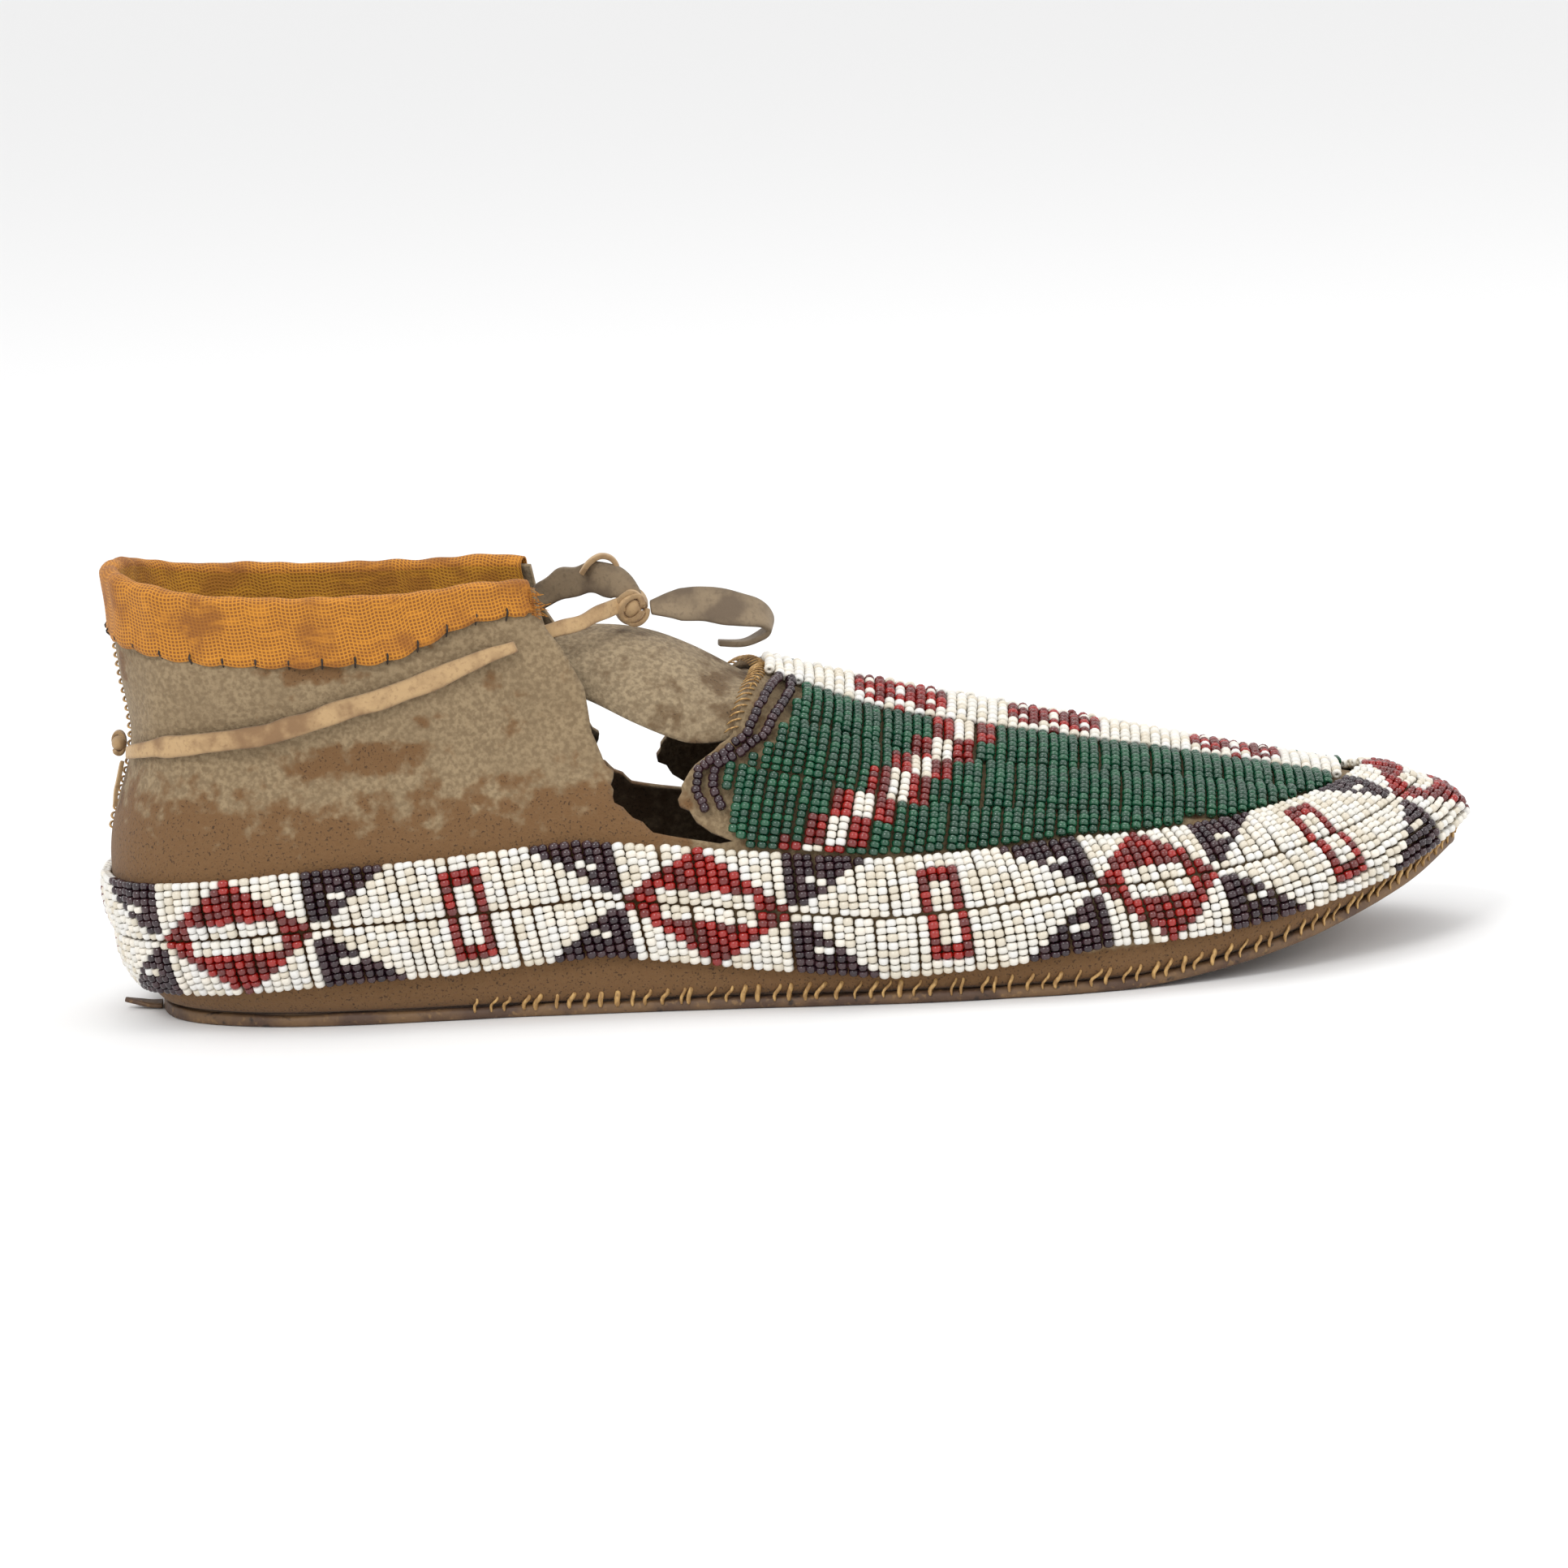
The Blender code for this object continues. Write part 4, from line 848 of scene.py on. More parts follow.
def rim_line():
    """The ankle's edge from its near front end round to the far one: shares, points and lengths."""
    shares = np.linspace(-BINDING_END, BINDING_END, RIM_POINTS)
    rim = np.array([skin(*rim_place(share), 1.0) for share in shares])
    return shares, rim, lengths_along(rim)


def build_binding():
    """Cotton cloth folded over the ankle's edge, puckered at each stitch and frayed in front."""
    shares, rim, run = rim_line()
    rows = []
    for share, length in zip(shares, run):
        side, along = rim_place(share)
        wall = wall_length(side, along, 1.0)
        scallop = abs(math.sin(math.pi * length / STITCH_PITCH))
        frayed = math.exp(-min(length, run[-1] - length) / 1.6)
        low = binding_depth(along, BINDING_OUTER_DEPTH) + 0.55 * scallop - 0.35
        low = low * (1 - 0.25 * frayed * (0.5 + 0.5 * math.sin(length * 9)))
        low_in = binding_depth(along, BINDING_INNER_DEPTH) + 0.25 * scallop
        # Lengths down from the rim on the outer face, then over the fold and down the inner face.
        outer = [height_share(side, along, wall - low * part)
                 for part in (1, 0.9, 0.75, 0.55, 0.35, 0.15)]
        inner = [height_share(side, along, wall - low_in * part) for part in (0.15, 0.4, 0.7, 0.9, 1)]
        normal = skin_normal(side, along, 0.97)
        top = skin(side, along, 1.0)
        puff = 0.16 * ripple(rim[:1] + length, 5.5, 41)[0]
        hem = (0.16, 0.62, 0.42, 0.30, 0.26, 0.30)
        row = [off_skin(side, along, up, GAP + CLOTH * (0.35 + lift) + puff * lift)
               for up, lift in zip(outer, hem)]
        row.append(top + normal * (GAP + 0.55) + (0, 0, GAP + 0.35))
        row.append(top + normal * (-HIDE / 2) + (0, 0, GAP + 1.25))
        row.append(top + normal * -(HIDE + GAP + 0.55) + (0, 0, GAP + 0.35))
        row += [off_skin(side, along, up, -(HIDE + GAP + CLOTH * 0.75)) for up in inner]
        rows.append(row)
    sheet = np.array(rows)
    gathers = 0.22 * ripple(sheet * (1, 1, 0.35), 3.6, 42) + 0.25 * ripple(sheet, 11, 43)
    normals = unit(np.cross(np.gradient(sheet, axis=0), np.gradient(sheet, axis=1)))
    sheet = sheet + normals * gathers[..., None]
    dense = np.array([smooth_path(row, 49) for row in sheet])
    across = np.array([lengths_along(row) for row in dense])
    uvs = np.stack([np.repeat(run[:, None], dense.shape[1], 1), across], -1) * MILLIMETRE
    faces = grid_quads(*dense.shape[:2])
    inner_face = np.broadcast_to(np.arange(48) > 30, (RIM_POINTS - 1, 48)).ravel()
    flat = dense.reshape(-1, 3)
    middle_out = normals[RIM_POINTS // 2, 2]
    if middle_out[0] > 0:
        faces = faces[:, ::-1]
    piece = add_piece("ankle_cloth", flat, faces, [CLOTH_OUT, CLOTH_IN],
                      replaces=("ankle_binding",), uvs=uvs.reshape(-1, 2),
                      face_materials=inner_face.astype(int))
    wall = piece.modifiers.new("thickness", "SOLIDIFY")
    wall.thickness = 0.35 * MILLIMETRE
    wall.offset = 0
    return run[-1]


def build_fray():
    """Loose threads of the cloth at its near front end."""
    parts = []
    for number in range(FRAY_THREADS):
        side, along = NEAR, BINDING_END - 0.001
        up = 1 - 0.075 * number / FRAY_THREADS
        start = off_skin(side, along, up, GAP + 0.5 + 0.3 * RANDOM.random())
        way = np.array([1.0, RANDOM.normal(0, 0.35), RANDOM.normal(-0.1, 0.4)])
        long = RANDOM.uniform(1.0, 3.2)
        bend = RANDOM.normal(0, 0.5, 3)
        path = [start + way * long * t + bend * t * t for t in np.linspace(-0.3, 1, 6)]
        parts.append(tube_parts(path, np.linspace(0.11, 0.05, 6), 5))
    points, faces = join_parts(parts)
    add_piece("cloth_fray", points, faces, [CLOTH_OUT],
              uvs=points[:, :2] * MILLIMETRE)


# ---------------------------------------------------------------- stitches

def stitch_parts(path, radius, flat=0.7):
    """One stitch: a short strand that thins where it goes into the hide."""
    way = smooth_path(path, 9)
    shares = np.linspace(-1, 1, 9)
    radii = radius * np.sqrt(np.maximum(1 - (shares * 0.94) ** 4, 0.05))
    return tube_parts(way, radii, 8, flatness=flat)


def seam_stations(pitch):
    """Places right round the shoe, evenly along the sole seam, near side first."""
    places = []
    for side in SIDES:
        points = OUTLINE_TABLE[side][1]
        total = lengths_along(points)[-1]
        count = int(total / pitch)
        places += [(side, (k + 0.5) / count) for k in range(count)]
    return places


# No stitches show behind this share of the seam.
HIDDEN_STITCHES = 0.25


def build_sole_stitches():
    """Sinew whip stitches that close the hide to the sole, each leaning toward the toe."""
    parts = []
    for side, along in seam_stations(2.9):
        if along < HIDDEN_STITCHES:
            continue
        along = along + RANDOM.normal(0, 0.0013)
        lean = 0.0032 + RANDOM.normal(0, 0.0013)
        x, y = outline(side, along)
        step = np.array([outline(side, along + 0.001)]) - np.array([outline(side, along - 0.001)])
        step = step[0]
        away = unit(np.array([-side * step[1], side * step[0]]))
        edge = np.array([x, y]) + away * (SOLE_MARGIN + 0.10)
        low = (*edge, toe_lift(x) + SOLE_THICKNESS * (0.62 + 0.1 * RANDOM.random()))
        mid_xy = np.array([x, y]) + away * (SOLE_MARGIN * 0.85 + 0.28)
        mid = (*mid_xy, toe_lift(x) + SOLE_THICKNESS + 0.45)
        high_up = height_share(side, along + lean, 1.7 + 0.5 * RANDOM.random())
        high = off_skin(side, along + lean, high_up, 0.30)
        top = off_skin(side, along + lean * 1.25, height_share(side, along + lean, 2.5), -0.25)
        parts.append(stitch_parts([low, mid, high, top], RANDOM.uniform(0.32, 0.60)))
    points, faces = join_parts(parts)
    add_piece("sole_stitches", points, faces, [SINEW], replaces=("sole_seam_thread",))


def build_heel_stitches():
    parts = []
    for up in np.arange(0.405, 0.86, 0.021):
        near = off_skin(NEAR, 0.0062, up, -0.1)
        near_top = off_skin(NEAR, 0.0035, up + 0.003, 0.42)
        far_top = off_skin(FAR, 0.0035, up + 0.006, 0.42)
        far = off_skin(FAR, 0.0062, up + 0.009, -0.1)
        parts.append(stitch_parts([near, near_top, far_top, far], 0.26))
    points, faces = join_parts(parts)
    add_piece("heel_stitches", points, faces, [SINEW], replaces=("heel_seam_thread",))


def build_tongue_stitches():
    """Short slanted stitches of sinew over the throat's edge, and a few loose ends."""
    parts = []
    for across in np.linspace(-0.97, 0.97, 35):
        side = NEAR if across < 0 else FAR
        up = 1 - TONGUE_SIDE_REACH * abs(across)
        throat = edge_at(THROAT_EDGE, up)
        slant = 0.012
        path = [off_skin(side, throat + 0.0035, up + slant * 0.5, 0.1),
                off_skin(side, throat + 0.0012, up + slant * 0.2, 0.45),
                off_skin(side, throat - 0.0025, up - slant * 0.2, 0.25),
                off_skin(side, throat - 0.006, up - slant * 0.5, -1.4)]
        parts.append(stitch_parts(path, 0.24))
    for across, long in ((-0.62, 4.0), (-0.52, 3.0), (-0.2, 3.4)):
        up = 1 - TONGUE_SIDE_REACH * abs(across)
        start = off_skin(NEAR, edge_at(THROAT_EDGE, up), up, 0.5)
        path = [start + np.array([long * t * 0.3, -long * t * 0.5, long * (0.9 * t - t * t * 0.8)])
                for t in np.linspace(0, 1, 6)]
        parts.append(tube_parts(path, np.linspace(0.16, 0.07, 6), 6))
    points, faces = join_parts(parts)
    add_piece("tongue_stitches", points, faces, [SINEW],
              replaces=("tongue_seam_thread",))


def build_binding_stitches(rim_run):
    """Whip stitches up over the cloth's lower edge, and a running stitch on its inner one."""
    outer_parts, inner_parts = [], []
    shares, _, run = rim_line()
    for number in range(1, int(rim_run / STITCH_PITCH)):
        share = float(np.interp(number * STITCH_PITCH, run, shares))
        side, along = rim_place(share)
        wall = wall_length(side, along, 1.0)
        low = wall - binding_depth(along, BINDING_OUTER_DEPTH) + 0.35
        lean = 0.0016 * (1 if side == NEAR else -1)
        spots = ((-0.9, 0.0, 0.12), (-0.35, 0.25, 0.55), (0.7, 0.7, CLOTH + 0.62),
                 (1.5, 1.0, CLOTH + 0.15))
        path = [off_skin(side, along + lean * part, height_share(side, along, low + rise), height)
                for rise, part, height in spots]
        outer_parts.append(stitch_parts(path, 0.20, flat=0.85))
    for number in range(1, int(rim_run / INNER_STITCH_PITCH)):
        share = float(np.interp(number * INNER_STITCH_PITCH, run, shares))
        side, along = rim_place(share)
        wall = wall_length(side, along, 1.0)
        low = wall - binding_depth(along, BINDING_INNER_DEPTH) + 1.3
        half = 0.0022
        depth = -(HIDE + GAP + CLOTH + 0.45)
        path = [off_skin(side, along + part * half, height_share(side, along, low), depth + lift)
                for part, lift in ((-1, 0.4), (-0.5, -0.12), (0.5, -0.12), (1, 0.4))]
        inner_parts.append(stitch_parts(path, 0.2))
    points, faces = join_parts(outer_parts)
    add_piece("binding_stitches_outer", points, faces, [DARK_THREAD],
              replaces=("binding_outer_thread",))
    points, faces = join_parts(inner_parts)
    add_piece("binding_stitches_inner", points, faces, [DARK_THREAD],
              replaces=("binding_inner_thread",))


# ---------------------------------------------------------------- thong, knot and bow

KNOT = np.array((-27.0, -6.0, 71.6))
KNOT_RADIUS = 3.0
HIDE_TO_LACE = GAP + LACE_THICKNESS / 2 + 0.35


def lace_frame(side, along, up):
    """The thong's way along the hide, and the hide's normal, at one place."""
    way = skin(side, along + 0.004, up + 0.005) - skin(side, along - 0.004, up - 0.005)
    normal = skin_normal(side, along, up)
    way = unit(way - normal * np.dot(way, normal))
    return way, normal, np.cross(normal, way)


def through_slit(side, slit, inward):
    """Path points at a slit, from the outer run to the inner one or the other way."""
    across = lace_frame(side, *slit)[2]
    spot, normal = skin(side, *slit), skin_normal(side, *slit)
    ends = [(spot + normal * HIDE_TO_LACE, across), (spot - normal * HIDE / 2, across),
            (spot - normal * (HIDE + HIDE_TO_LACE), across)]
    return ends if inward else ends[::-1]


def lace_half(side):
    """One side's run, from the heel's middle inside to the front edge of the quarter."""
    depth = -(HIDE + HIDE_TO_LACE)
    run = []
    for along in (0.0, 0.014):
        across = lace_frame(side, max(along, 0.006), HEEL_SLIT[1])[2]
        run.append((off_skin(side, along, HEEL_SLIT[1], depth), across))
    run += through_slit(side, HEEL_SLIT, inward=False)
    for along, up in LACE_WAY:
        across = lace_frame(side, along, up)[2]
        run.append((off_skin(side, along, up, HIDE_TO_LACE + 0.15), across))
    run += through_slit(side, FRONT_SLIT, inward=True)
    for along, up in ((0.351, 0.874), (0.362, 0.886)):
        across = lace_frame(side, along, up)[2]
        run.append((off_skin(side, along, up, depth), across))
    return run


def build_lace():
    """The long thong, from the knot along the near side, round the heel and up the far side."""
    near_free = [((-38.5, -13.5, 70.0), (0.2, 0.3, 1.0)), ((-33.5, -10.5, 71.4), (0.2, 0.3, 1.0)),
                 ((-30.4, -7.6, 72.2), (0.2, 0.3, 1.0)), ((-28.4, -6.8, 72.6), (0.2, 0.3, 1.0))]
    turned = [(point, -np.asarray(across)) for point, across in lace_half(NEAR)[1:]][::-1]
    way = near_free[::-1] + turned + lace_half(FAR)
    path, across, widths = [], [], []
    for point, width_way in way:
        width_way = np.asarray(width_way, float)
        if across and np.dot(width_way, across[-1]) < 0:
            width_way = -width_way
        path.append(np.asarray(point, float))
        across.append(width_way)
    slits = np.array([skin(side, *slit) for side in SIDES for slit in (HEEL_SLIT, FRONT_SLIT)])
    for number, point in enumerate(path):
        pinch = np.min(np.linalg.norm(slits - point, axis=1))
        width = 2.4 + 1.5 * ease(2.0, 14.0, pinch)
        widths.append(2.9 if number < len(near_free) else width)
    add_strap("thong_lace", path, across, widths, LACE_THICKNESS, 420, 51, THONG, "shoe",
              ("ankle_lace",), cup=0.02)


FRONT_LOOP = (((-23.6, -5.6, 71.4), (0, 0.3, 1)), ((-18, -5.0, 71.6), (0, 0.35, 1)),
              ((-12, -4.0, 71.0), (0, 0.4, 1)), ((-6.5, -3.0, 69.7), (0.1, 0.55, 1)),
              ((-2.6, -1.6, 68.0), (0.25, 0.9, 0.8)), ((-1.2, -0.4, 66.0), (0.2, 1, 0.3)),
              ((-2.8, 0.0, 64.2), (0, 1, 0.1)), ((-6.5, -0.4, 63.0), (0, 1, 0)),
              ((-11.0, -1.2, 63.3), (0, 1, 0)))


def build_knot():
    """The bow's knot: a band wrapped across the two runs that meet in it."""
    parts = []
    for tilt, size, width, seed in ((0.30, 1.0, 3.4, 61), (-0.45, 0.82, 2.6, 62)):
        path, across = [], []
        for angle in np.linspace(0, 1.92 * math.pi, 25):
            spot = KNOT + size * 0.9 * KNOT_RADIUS * np.array(
                (0.92 * math.cos(angle), 0.30 * math.sin(angle * 2 + tilt), math.sin(angle)))
            path.append(spot + (0, tilt * 1.6, 0))
            across.append((tilt * math.sin(angle), 1.0, tilt * math.cos(angle)))
        points, faces, edges = strap_parts(path, across, width, 1.0, 60, seed)
        parts.append((points, faces, edges))
    ball = tube_parts([KNOT + (0, y, 0) for y in (-2.2, -1.6, -0.8, 0.8, 1.6, 2.2)],
                      np.array((0.6, 1.5, 1.9, 1.9, 1.5, 0.6)), 14)
    points, faces = join_parts([part[:2] for part in parts] + [ball])
    edges = np.concatenate([part[2] for part in parts] + [np.full(len(ball[0]), 0.6)])
    add_piece("bow_knot", points, faces, [THONG], replaces=("lace_knot",),
              attributes={"edge": edges}, subdivide=1)


def build_bow():
    """The wide strap into the knot, the stiff loop ahead of it and the small one behind it."""
    start = off_skin(FAR, 0.362, 0.886, -HIDE - 1.2)
    path = (start, (-44.0, 7.5, 72.6), (-39.5, 3.5, 75.4), (-34.0, -0.5, 76.8),
            (-29.6, -3.2, 76.0), (-27.2, -4.4, 74.2), (-25.8, -5.2, 72.4))
    across = ((0.1, -0.4, 1), (0.1, -0.35, 1), (0.1, -0.3, 1), (0, -0.1, 1), (0.1, 0.1, 1),
              (0.1, 0.2, 1), (0, 0.3, 1))
    add_strap("bow_far_run", path, across, (3.4, 4.6, 5.8, 6.2, 6.0, 4.4, 2.4), LACE_THICKNESS,
              150, 72, STRAP, "shoe", ("ankle_lace",), cup=0.03)
    path = [point for point, _ in FRONT_LOOP]
    across = [way for _, way in FRONT_LOOP]
    widths = (2.6, 6.2, 6.9, 6.6, 5.8, 5.4, 5.2, 4.4, 2.4)
    add_strap("bow_loop_front", path, across, widths, LACE_THICKNESS, 150, 71, STRAP, "front_loop",
              ("bow_front_loop",), cup=0.03)
    path = ((-30.0, -2.2, 76.2), (-29.2, -1.9, 78.4), (-30.2, -1.6, 80.4), (-32.2, -1.4, 81.0),
            (-34.4, -1.2, 79.8), (-36.0, -1.0, 77.8))
    across = ((0, 1, 0.2), (0, 1, 0), (0, 1, 0), (0, 1, 0), (0, 1, 0), (0, 1, 0))
    add_strap("bow_loop_small", path, across, (2.6, 3.1, 3.3, 3.1, 2.8, 2.2), 1.0, 80, 73, THONG,
              "small_loop", ("bow_small_loop",), cup=0.05)


def build_heel_tie():
    """A short thong knotted through the heel seam with a thin tail, and the tag at the sole."""
    spot = off_skin(NEAR, 0.0, 0.60, 0.0)
    path, across = [], []
    for angle in np.linspace(0, 1.8 * math.pi, 21):
        path.append(spot + (-2.2 - 1.1 * math.cos(angle), 1.9 * math.cos(angle * 0.5),
                            1.7 * math.sin(angle)))
        across.append((0.3 * math.sin(angle), 1, 0.4 * math.cos(angle)))
    wrap = strap_parts(path, across, 2.2, 0.8, 50, 81)
    ball = tube_parts([spot + (-2.2, y, 0) for y in (-2.8, -2.2, -1, 1, 2.2, 2.8)],
                      np.array((0.4, 1.1, 1.5, 1.5, 1.1, 0.4)), 12)
    points, faces = join_parts([wrap[:2], ball])
    edges = np.concatenate([wrap[2], np.full(len(ball[0]), 0.5)])
    add_piece("heel_knot", points, faces, [THONG], replaces=("heel_tie_knot",),
              attributes={"edge": edges}, subdivide=1)
    path, across = [], []
    for along, up in ((0.006, 0.555), (0.012, 0.525), (0.018, 0.495), (0.024, 0.465)):
        path.append(off_skin(NEAR, along, up, GAP + 0.9))
        across.append(skin(NEAR, along + 0.01, up) - skin(NEAR, along, up))
    add_strap("heel_tail", path, across, (1.6, 1.3, 0.9, 0.5), 0.8, 40, 83, THONG, "tie_tail",
              ("heel_tie_tail",))
    root = (OUTLINE[NEAR][0][0] - SOLE_MARGIN - 1.4, 0.0, 0.7)
    path = ((root[0] + 1.1, 0.0, 0.7), root, (root[0] - 2.8, 0.1, 1.0), (root[0] - 6.0, 0.3, 1.8))
    add_strap("heel_leather_tag", path, ((0, 1, 0),) * 4, (5.0, 5.0, 3.8, 0.8), 0.9, 30, 85, RAWHIDE,
              "tag", ("heel_tag",))


# ---------------------------------------------------------------- beads

BEADS_A_LANE = 8
# A drawn bead's outline round its hole, as shares of its radius and of half its length.
BEAD_PROFILE = ((0.30, -0.80), (0.62, -1.0), (0.90, -0.72), (1.0, 0.0), (0.90, 0.72), (0.62, 1.0),
                (0.30, 0.80))
BEAD_SIDES = 10


def bead_template():
    """A bead's points and faces round its string, its hole open from end to end."""
    angles = np.linspace(0, 2 * math.pi, BEAD_SIDES, endpoint=False)
    rings = []
    for radius, height in BEAD_PROFILE:
        rings.append(np.stack([radius * np.cos(angles), radius * np.sin(angles),
                               np.full(BEAD_SIDES, height)], -1))
    points = np.concatenate(rings)
    quads = grid_quads(len(BEAD_PROFILE), BEAD_SIDES, wrap=True)
    last = (len(BEAD_PROFILE) - 1) * BEAD_SIDES
    hole = [(last + k, last + (k + 1) % BEAD_SIDES, (k + 1) % BEAD_SIDES, k)
            for k in range(BEAD_SIDES)]
    return points, np.vstack([quads, np.array(hole)])


BEAD_POINTS, BEAD_QUADS = bead_template()


class Beads:
    """Beads of one lane, kept by colour until each colour becomes a piece."""

    def __init__(self, lane, node):
        self.lane = lane
        self.node = node
        self.kept = {}

    def add(self, colours, spots, ways, normals, radii, halves):
        """Several beads: their colours, middles, string directions, normals and half sizes."""
        for colour in sorted(set(colours)):
            chosen = np.array([c == colour for c in colours])
            self.kept.setdefault(colour, []).append(
                (spots[chosen], ways[chosen], normals[chosen], radii[chosen], halves[chosen]))

    def build(self):
        for colour, groups in sorted(self.kept.items()):
            spots, ways, normals, radii, halves = (np.concatenate(rows) for rows in zip(*groups))
            ways = unit(ways)
            normals = unit(normals - ways * np.sum(ways * normals, 1)[:, None])
            beside = np.cross(ways, normals)
            turn = RANDOM.uniform(0, 2 * math.pi, len(spots))
            first = (np.cos(turn)[:, None] * beside + np.sin(turn)[:, None] * normals)
            second = np.cross(ways, first)
            x, y, z = BEAD_POINTS.T
            points = (spots[:, None] + first[:, None] * (x[None, :, None] * radii[:, None, None])
                      + second[:, None] * (y[None, :, None] * radii[:, None, None])
                      + ways[:, None] * (z[None, :, None] * halves[:, None, None]))
            starts = np.arange(len(spots)) * len(BEAD_POINTS)
            quads = (BEAD_QUADS[None] + starts[:, None, None]).reshape(-1, 4)
            glass = BEAD_GLASS[colour]
            shade = np.repeat(RANDOM.integers(0, len(glass), len(spots)), len(BEAD_QUADS))
            add_piece(f"beads_{self.lane}_{colour}", points, quads, glass,
                      replaces=(self.node,), face_materials=shade)


def string_of_beads(count):
    """Uneven bead lengths that together fill a string: each bead's middle and half length."""
    lengths = RANDOM.uniform(0.84, 1.16, count)
    lengths /= lengths.sum()
    ends = np.cumsum(lengths)
    return ends - lengths / 2, lengths / 2


# The border's figures from the heel to the toe: kind, strings of beads, share where it ends.
BORDER_FIGURES = (("half_hexagon_start", 14, 0.070), ("diamond", 15, 0.162), ("hexagon", 30, 0.372),
                  ("diamond", 15, 0.470), ("hexagon", 30, 0.678), ("diamond", 13, 0.757),
                  ("hexagon", 28, 0.940), ("half_diamond", 8, 1.0))


def diamond_colour(column, row, count):
    """Red on white, with a small white opening; the row counts from the two lanes' middle line."""
    away = abs(column - (count - 1) / 2)
    if away / (count / 2) + row / BEADS_A_LANE > 1:
        return "white"
    inner = away <= count * 0.27 - 1.1 * (row > 1) and row < 2
    return "white" if inner else "red"


def hexagon_colour(column, row, count):
    """White, with purple corners that hold white dots, and a thin red oblong in the middle."""
    from_end = min(column, count - 1 - column)
    from_edge = BEADS_A_LANE - 1 - row
    if from_end in (2, 3) and from_edge == 3:
        return "white"
    if from_edge < BEADS_A_LANE - 1 - from_end * 0.95:
        return "purple"
    from_middle = abs(column - (count - 1) / 2)
    if from_middle < 2 and row < 6:
        if from_middle >= 1 or row >= 4:
            return "red"
    return "white"


def border_colour(figure, column, row, count):
    if figure == "diamond":
        return diamond_colour(column, row, count)
    if figure == "half_diamond":
        return diamond_colour(column, row, 2 * count)
    if figure == "half_hexagon_start":
        return hexagon_colour(column + count, row, 2 * count)
    return hexagon_colour(column, row, count)


def build_border():
    """Two lanes of short strings right round the shoe, eight beads to a string."""
    for lane, start in (("lower", 0.0), ("upper", LANE_WIDTH + 0.4)):
        for side in SIDES:
            beads = Beads(f"border_{lane}_{SIDE_NAMES[side]}", f"border_lane_{lane}")
            places = border_strings(side, start)
            for (figure, column, count, along, pitch) in places:
                border_string(beads, side, lane, start, figure, column, count, along, pitch)
            beads.build()


def border_strings(side, start):
    """Each string of a lane: its figure, its number there, and where it is sewn."""
    shares = np.linspace(0, 1, 301)
    middles = np.array([off_skin(side, a, height_share(side, a, border_start(a) + start
                                                       + LANE_WIDTH / 2), 1.6) for a in shares])
    run = lengths_along(middles)
    places, begin = [], 0.0
    for figure, count, end in BORDER_FIGURES:
        low, high = np.interp((begin, end), shares, run)
        pitch = (high - low) / count
        for column in range(count):
            along = float(np.interp(low + (column + 0.5) * pitch, run, shares))
            places.append((figure, column, count, along, pitch))
        begin = end
    return places


def border_string(beads, side, lane, start, figure, column, count, along, pitch):
    """One string: it stands out from the hide in the middle and dips at both ends."""
    middles, halves = string_of_beads(BEADS_A_LANE)
    reach = LANE_WIDTH - 0.1
    lengths = border_start(along) + start + middles * reach
    ups = height_share(side, along, lengths)
    alongs = along + RANDOM.normal(0, 0.0004) + (middles - 0.5) * RANDOM.normal(0, 0.0009)
    rise = 0.95 + 0.75 * np.sin(math.pi * np.clip(middles, 0.02, 0.98)) ** 0.7
    rise = rise + RANDOM.normal(0, 0.07) + proud(lane, along)
    spots = off_skin(side, alongs, ups, rise)
    ways = np.gradient(spots, axis=0) + RANDOM.normal(0, 0.05, (BEADS_A_LANE, 3))
    normals = skin_normal(side, alongs, ups)
    radii = np.clip(pitch * 0.53, 0.84, 1.10) * RANDOM.uniform(0.92, 1.05, BEADS_A_LANE)
    colours = []
    for number in range(BEADS_A_LANE):
        row = number if lane == "upper" else BEADS_A_LANE - 1 - number
        colours.append(border_colour(figure, column, row, count))
    beads.add(colours, spots, ways, normals, radii, halves * reach * 1.02)


def proud(lane, along):
    """Worn strings that have come loose on top of the toe."""
    if lane == "lower" or along < 0.965:
        return 0.0
    return float(RANDOM.uniform(0.1, 0.9))


# ---------------------------------------------------------------- the vamp's lanes

STRING_PITCH = 2.05
STRING_LEAN = 0.25
THROAT_CLEAR = 0.0262
CORNER_CLEAR = 0.008
# Lanes by distance down from the ridge, with the beads that each string of them holds.
VAMP_LANES = {NEAR: ((8.9, 19.4, 8), (19.7, 31.0, 9), (31.3, 60.0, 22)),
              FAR: ((2.1, 12.6, 8), (12.9, 24.2, 9), (24.5, 60.0, 27))}
STEP_START = 20.4
STEP_SHIFTS = (0, 2, 4, 6, 9, 11, 13)
CENTRE_CROSSES = (9.5, 39.0, 76.0)
CROSS_ROWS = ("    r    ", " rr   rr ", "r rrrrr r", "rrrr rrrr",
              "rrrr rrrr", "r rrrrr r", " rr   rr ", "    r    ")


def leaning_cut(side, place):
    """The hide's section along one leaning string line: shares along and up, and lengths."""
    points = WALL_TABLE[side][0]
    keys = points[:, :, 0] - STRING_LEAN * points[:, :, 2]
    alongs, ups = [], []
    for up, row in zip(UP_GRID[::-1], keys[::-1]):
        if row[0] < place <= row[-1]:
            alongs.append(float(np.interp(place, row, ALONG_GRID)))
            ups.append(float(up))
    return np.array(alongs), np.array(ups)


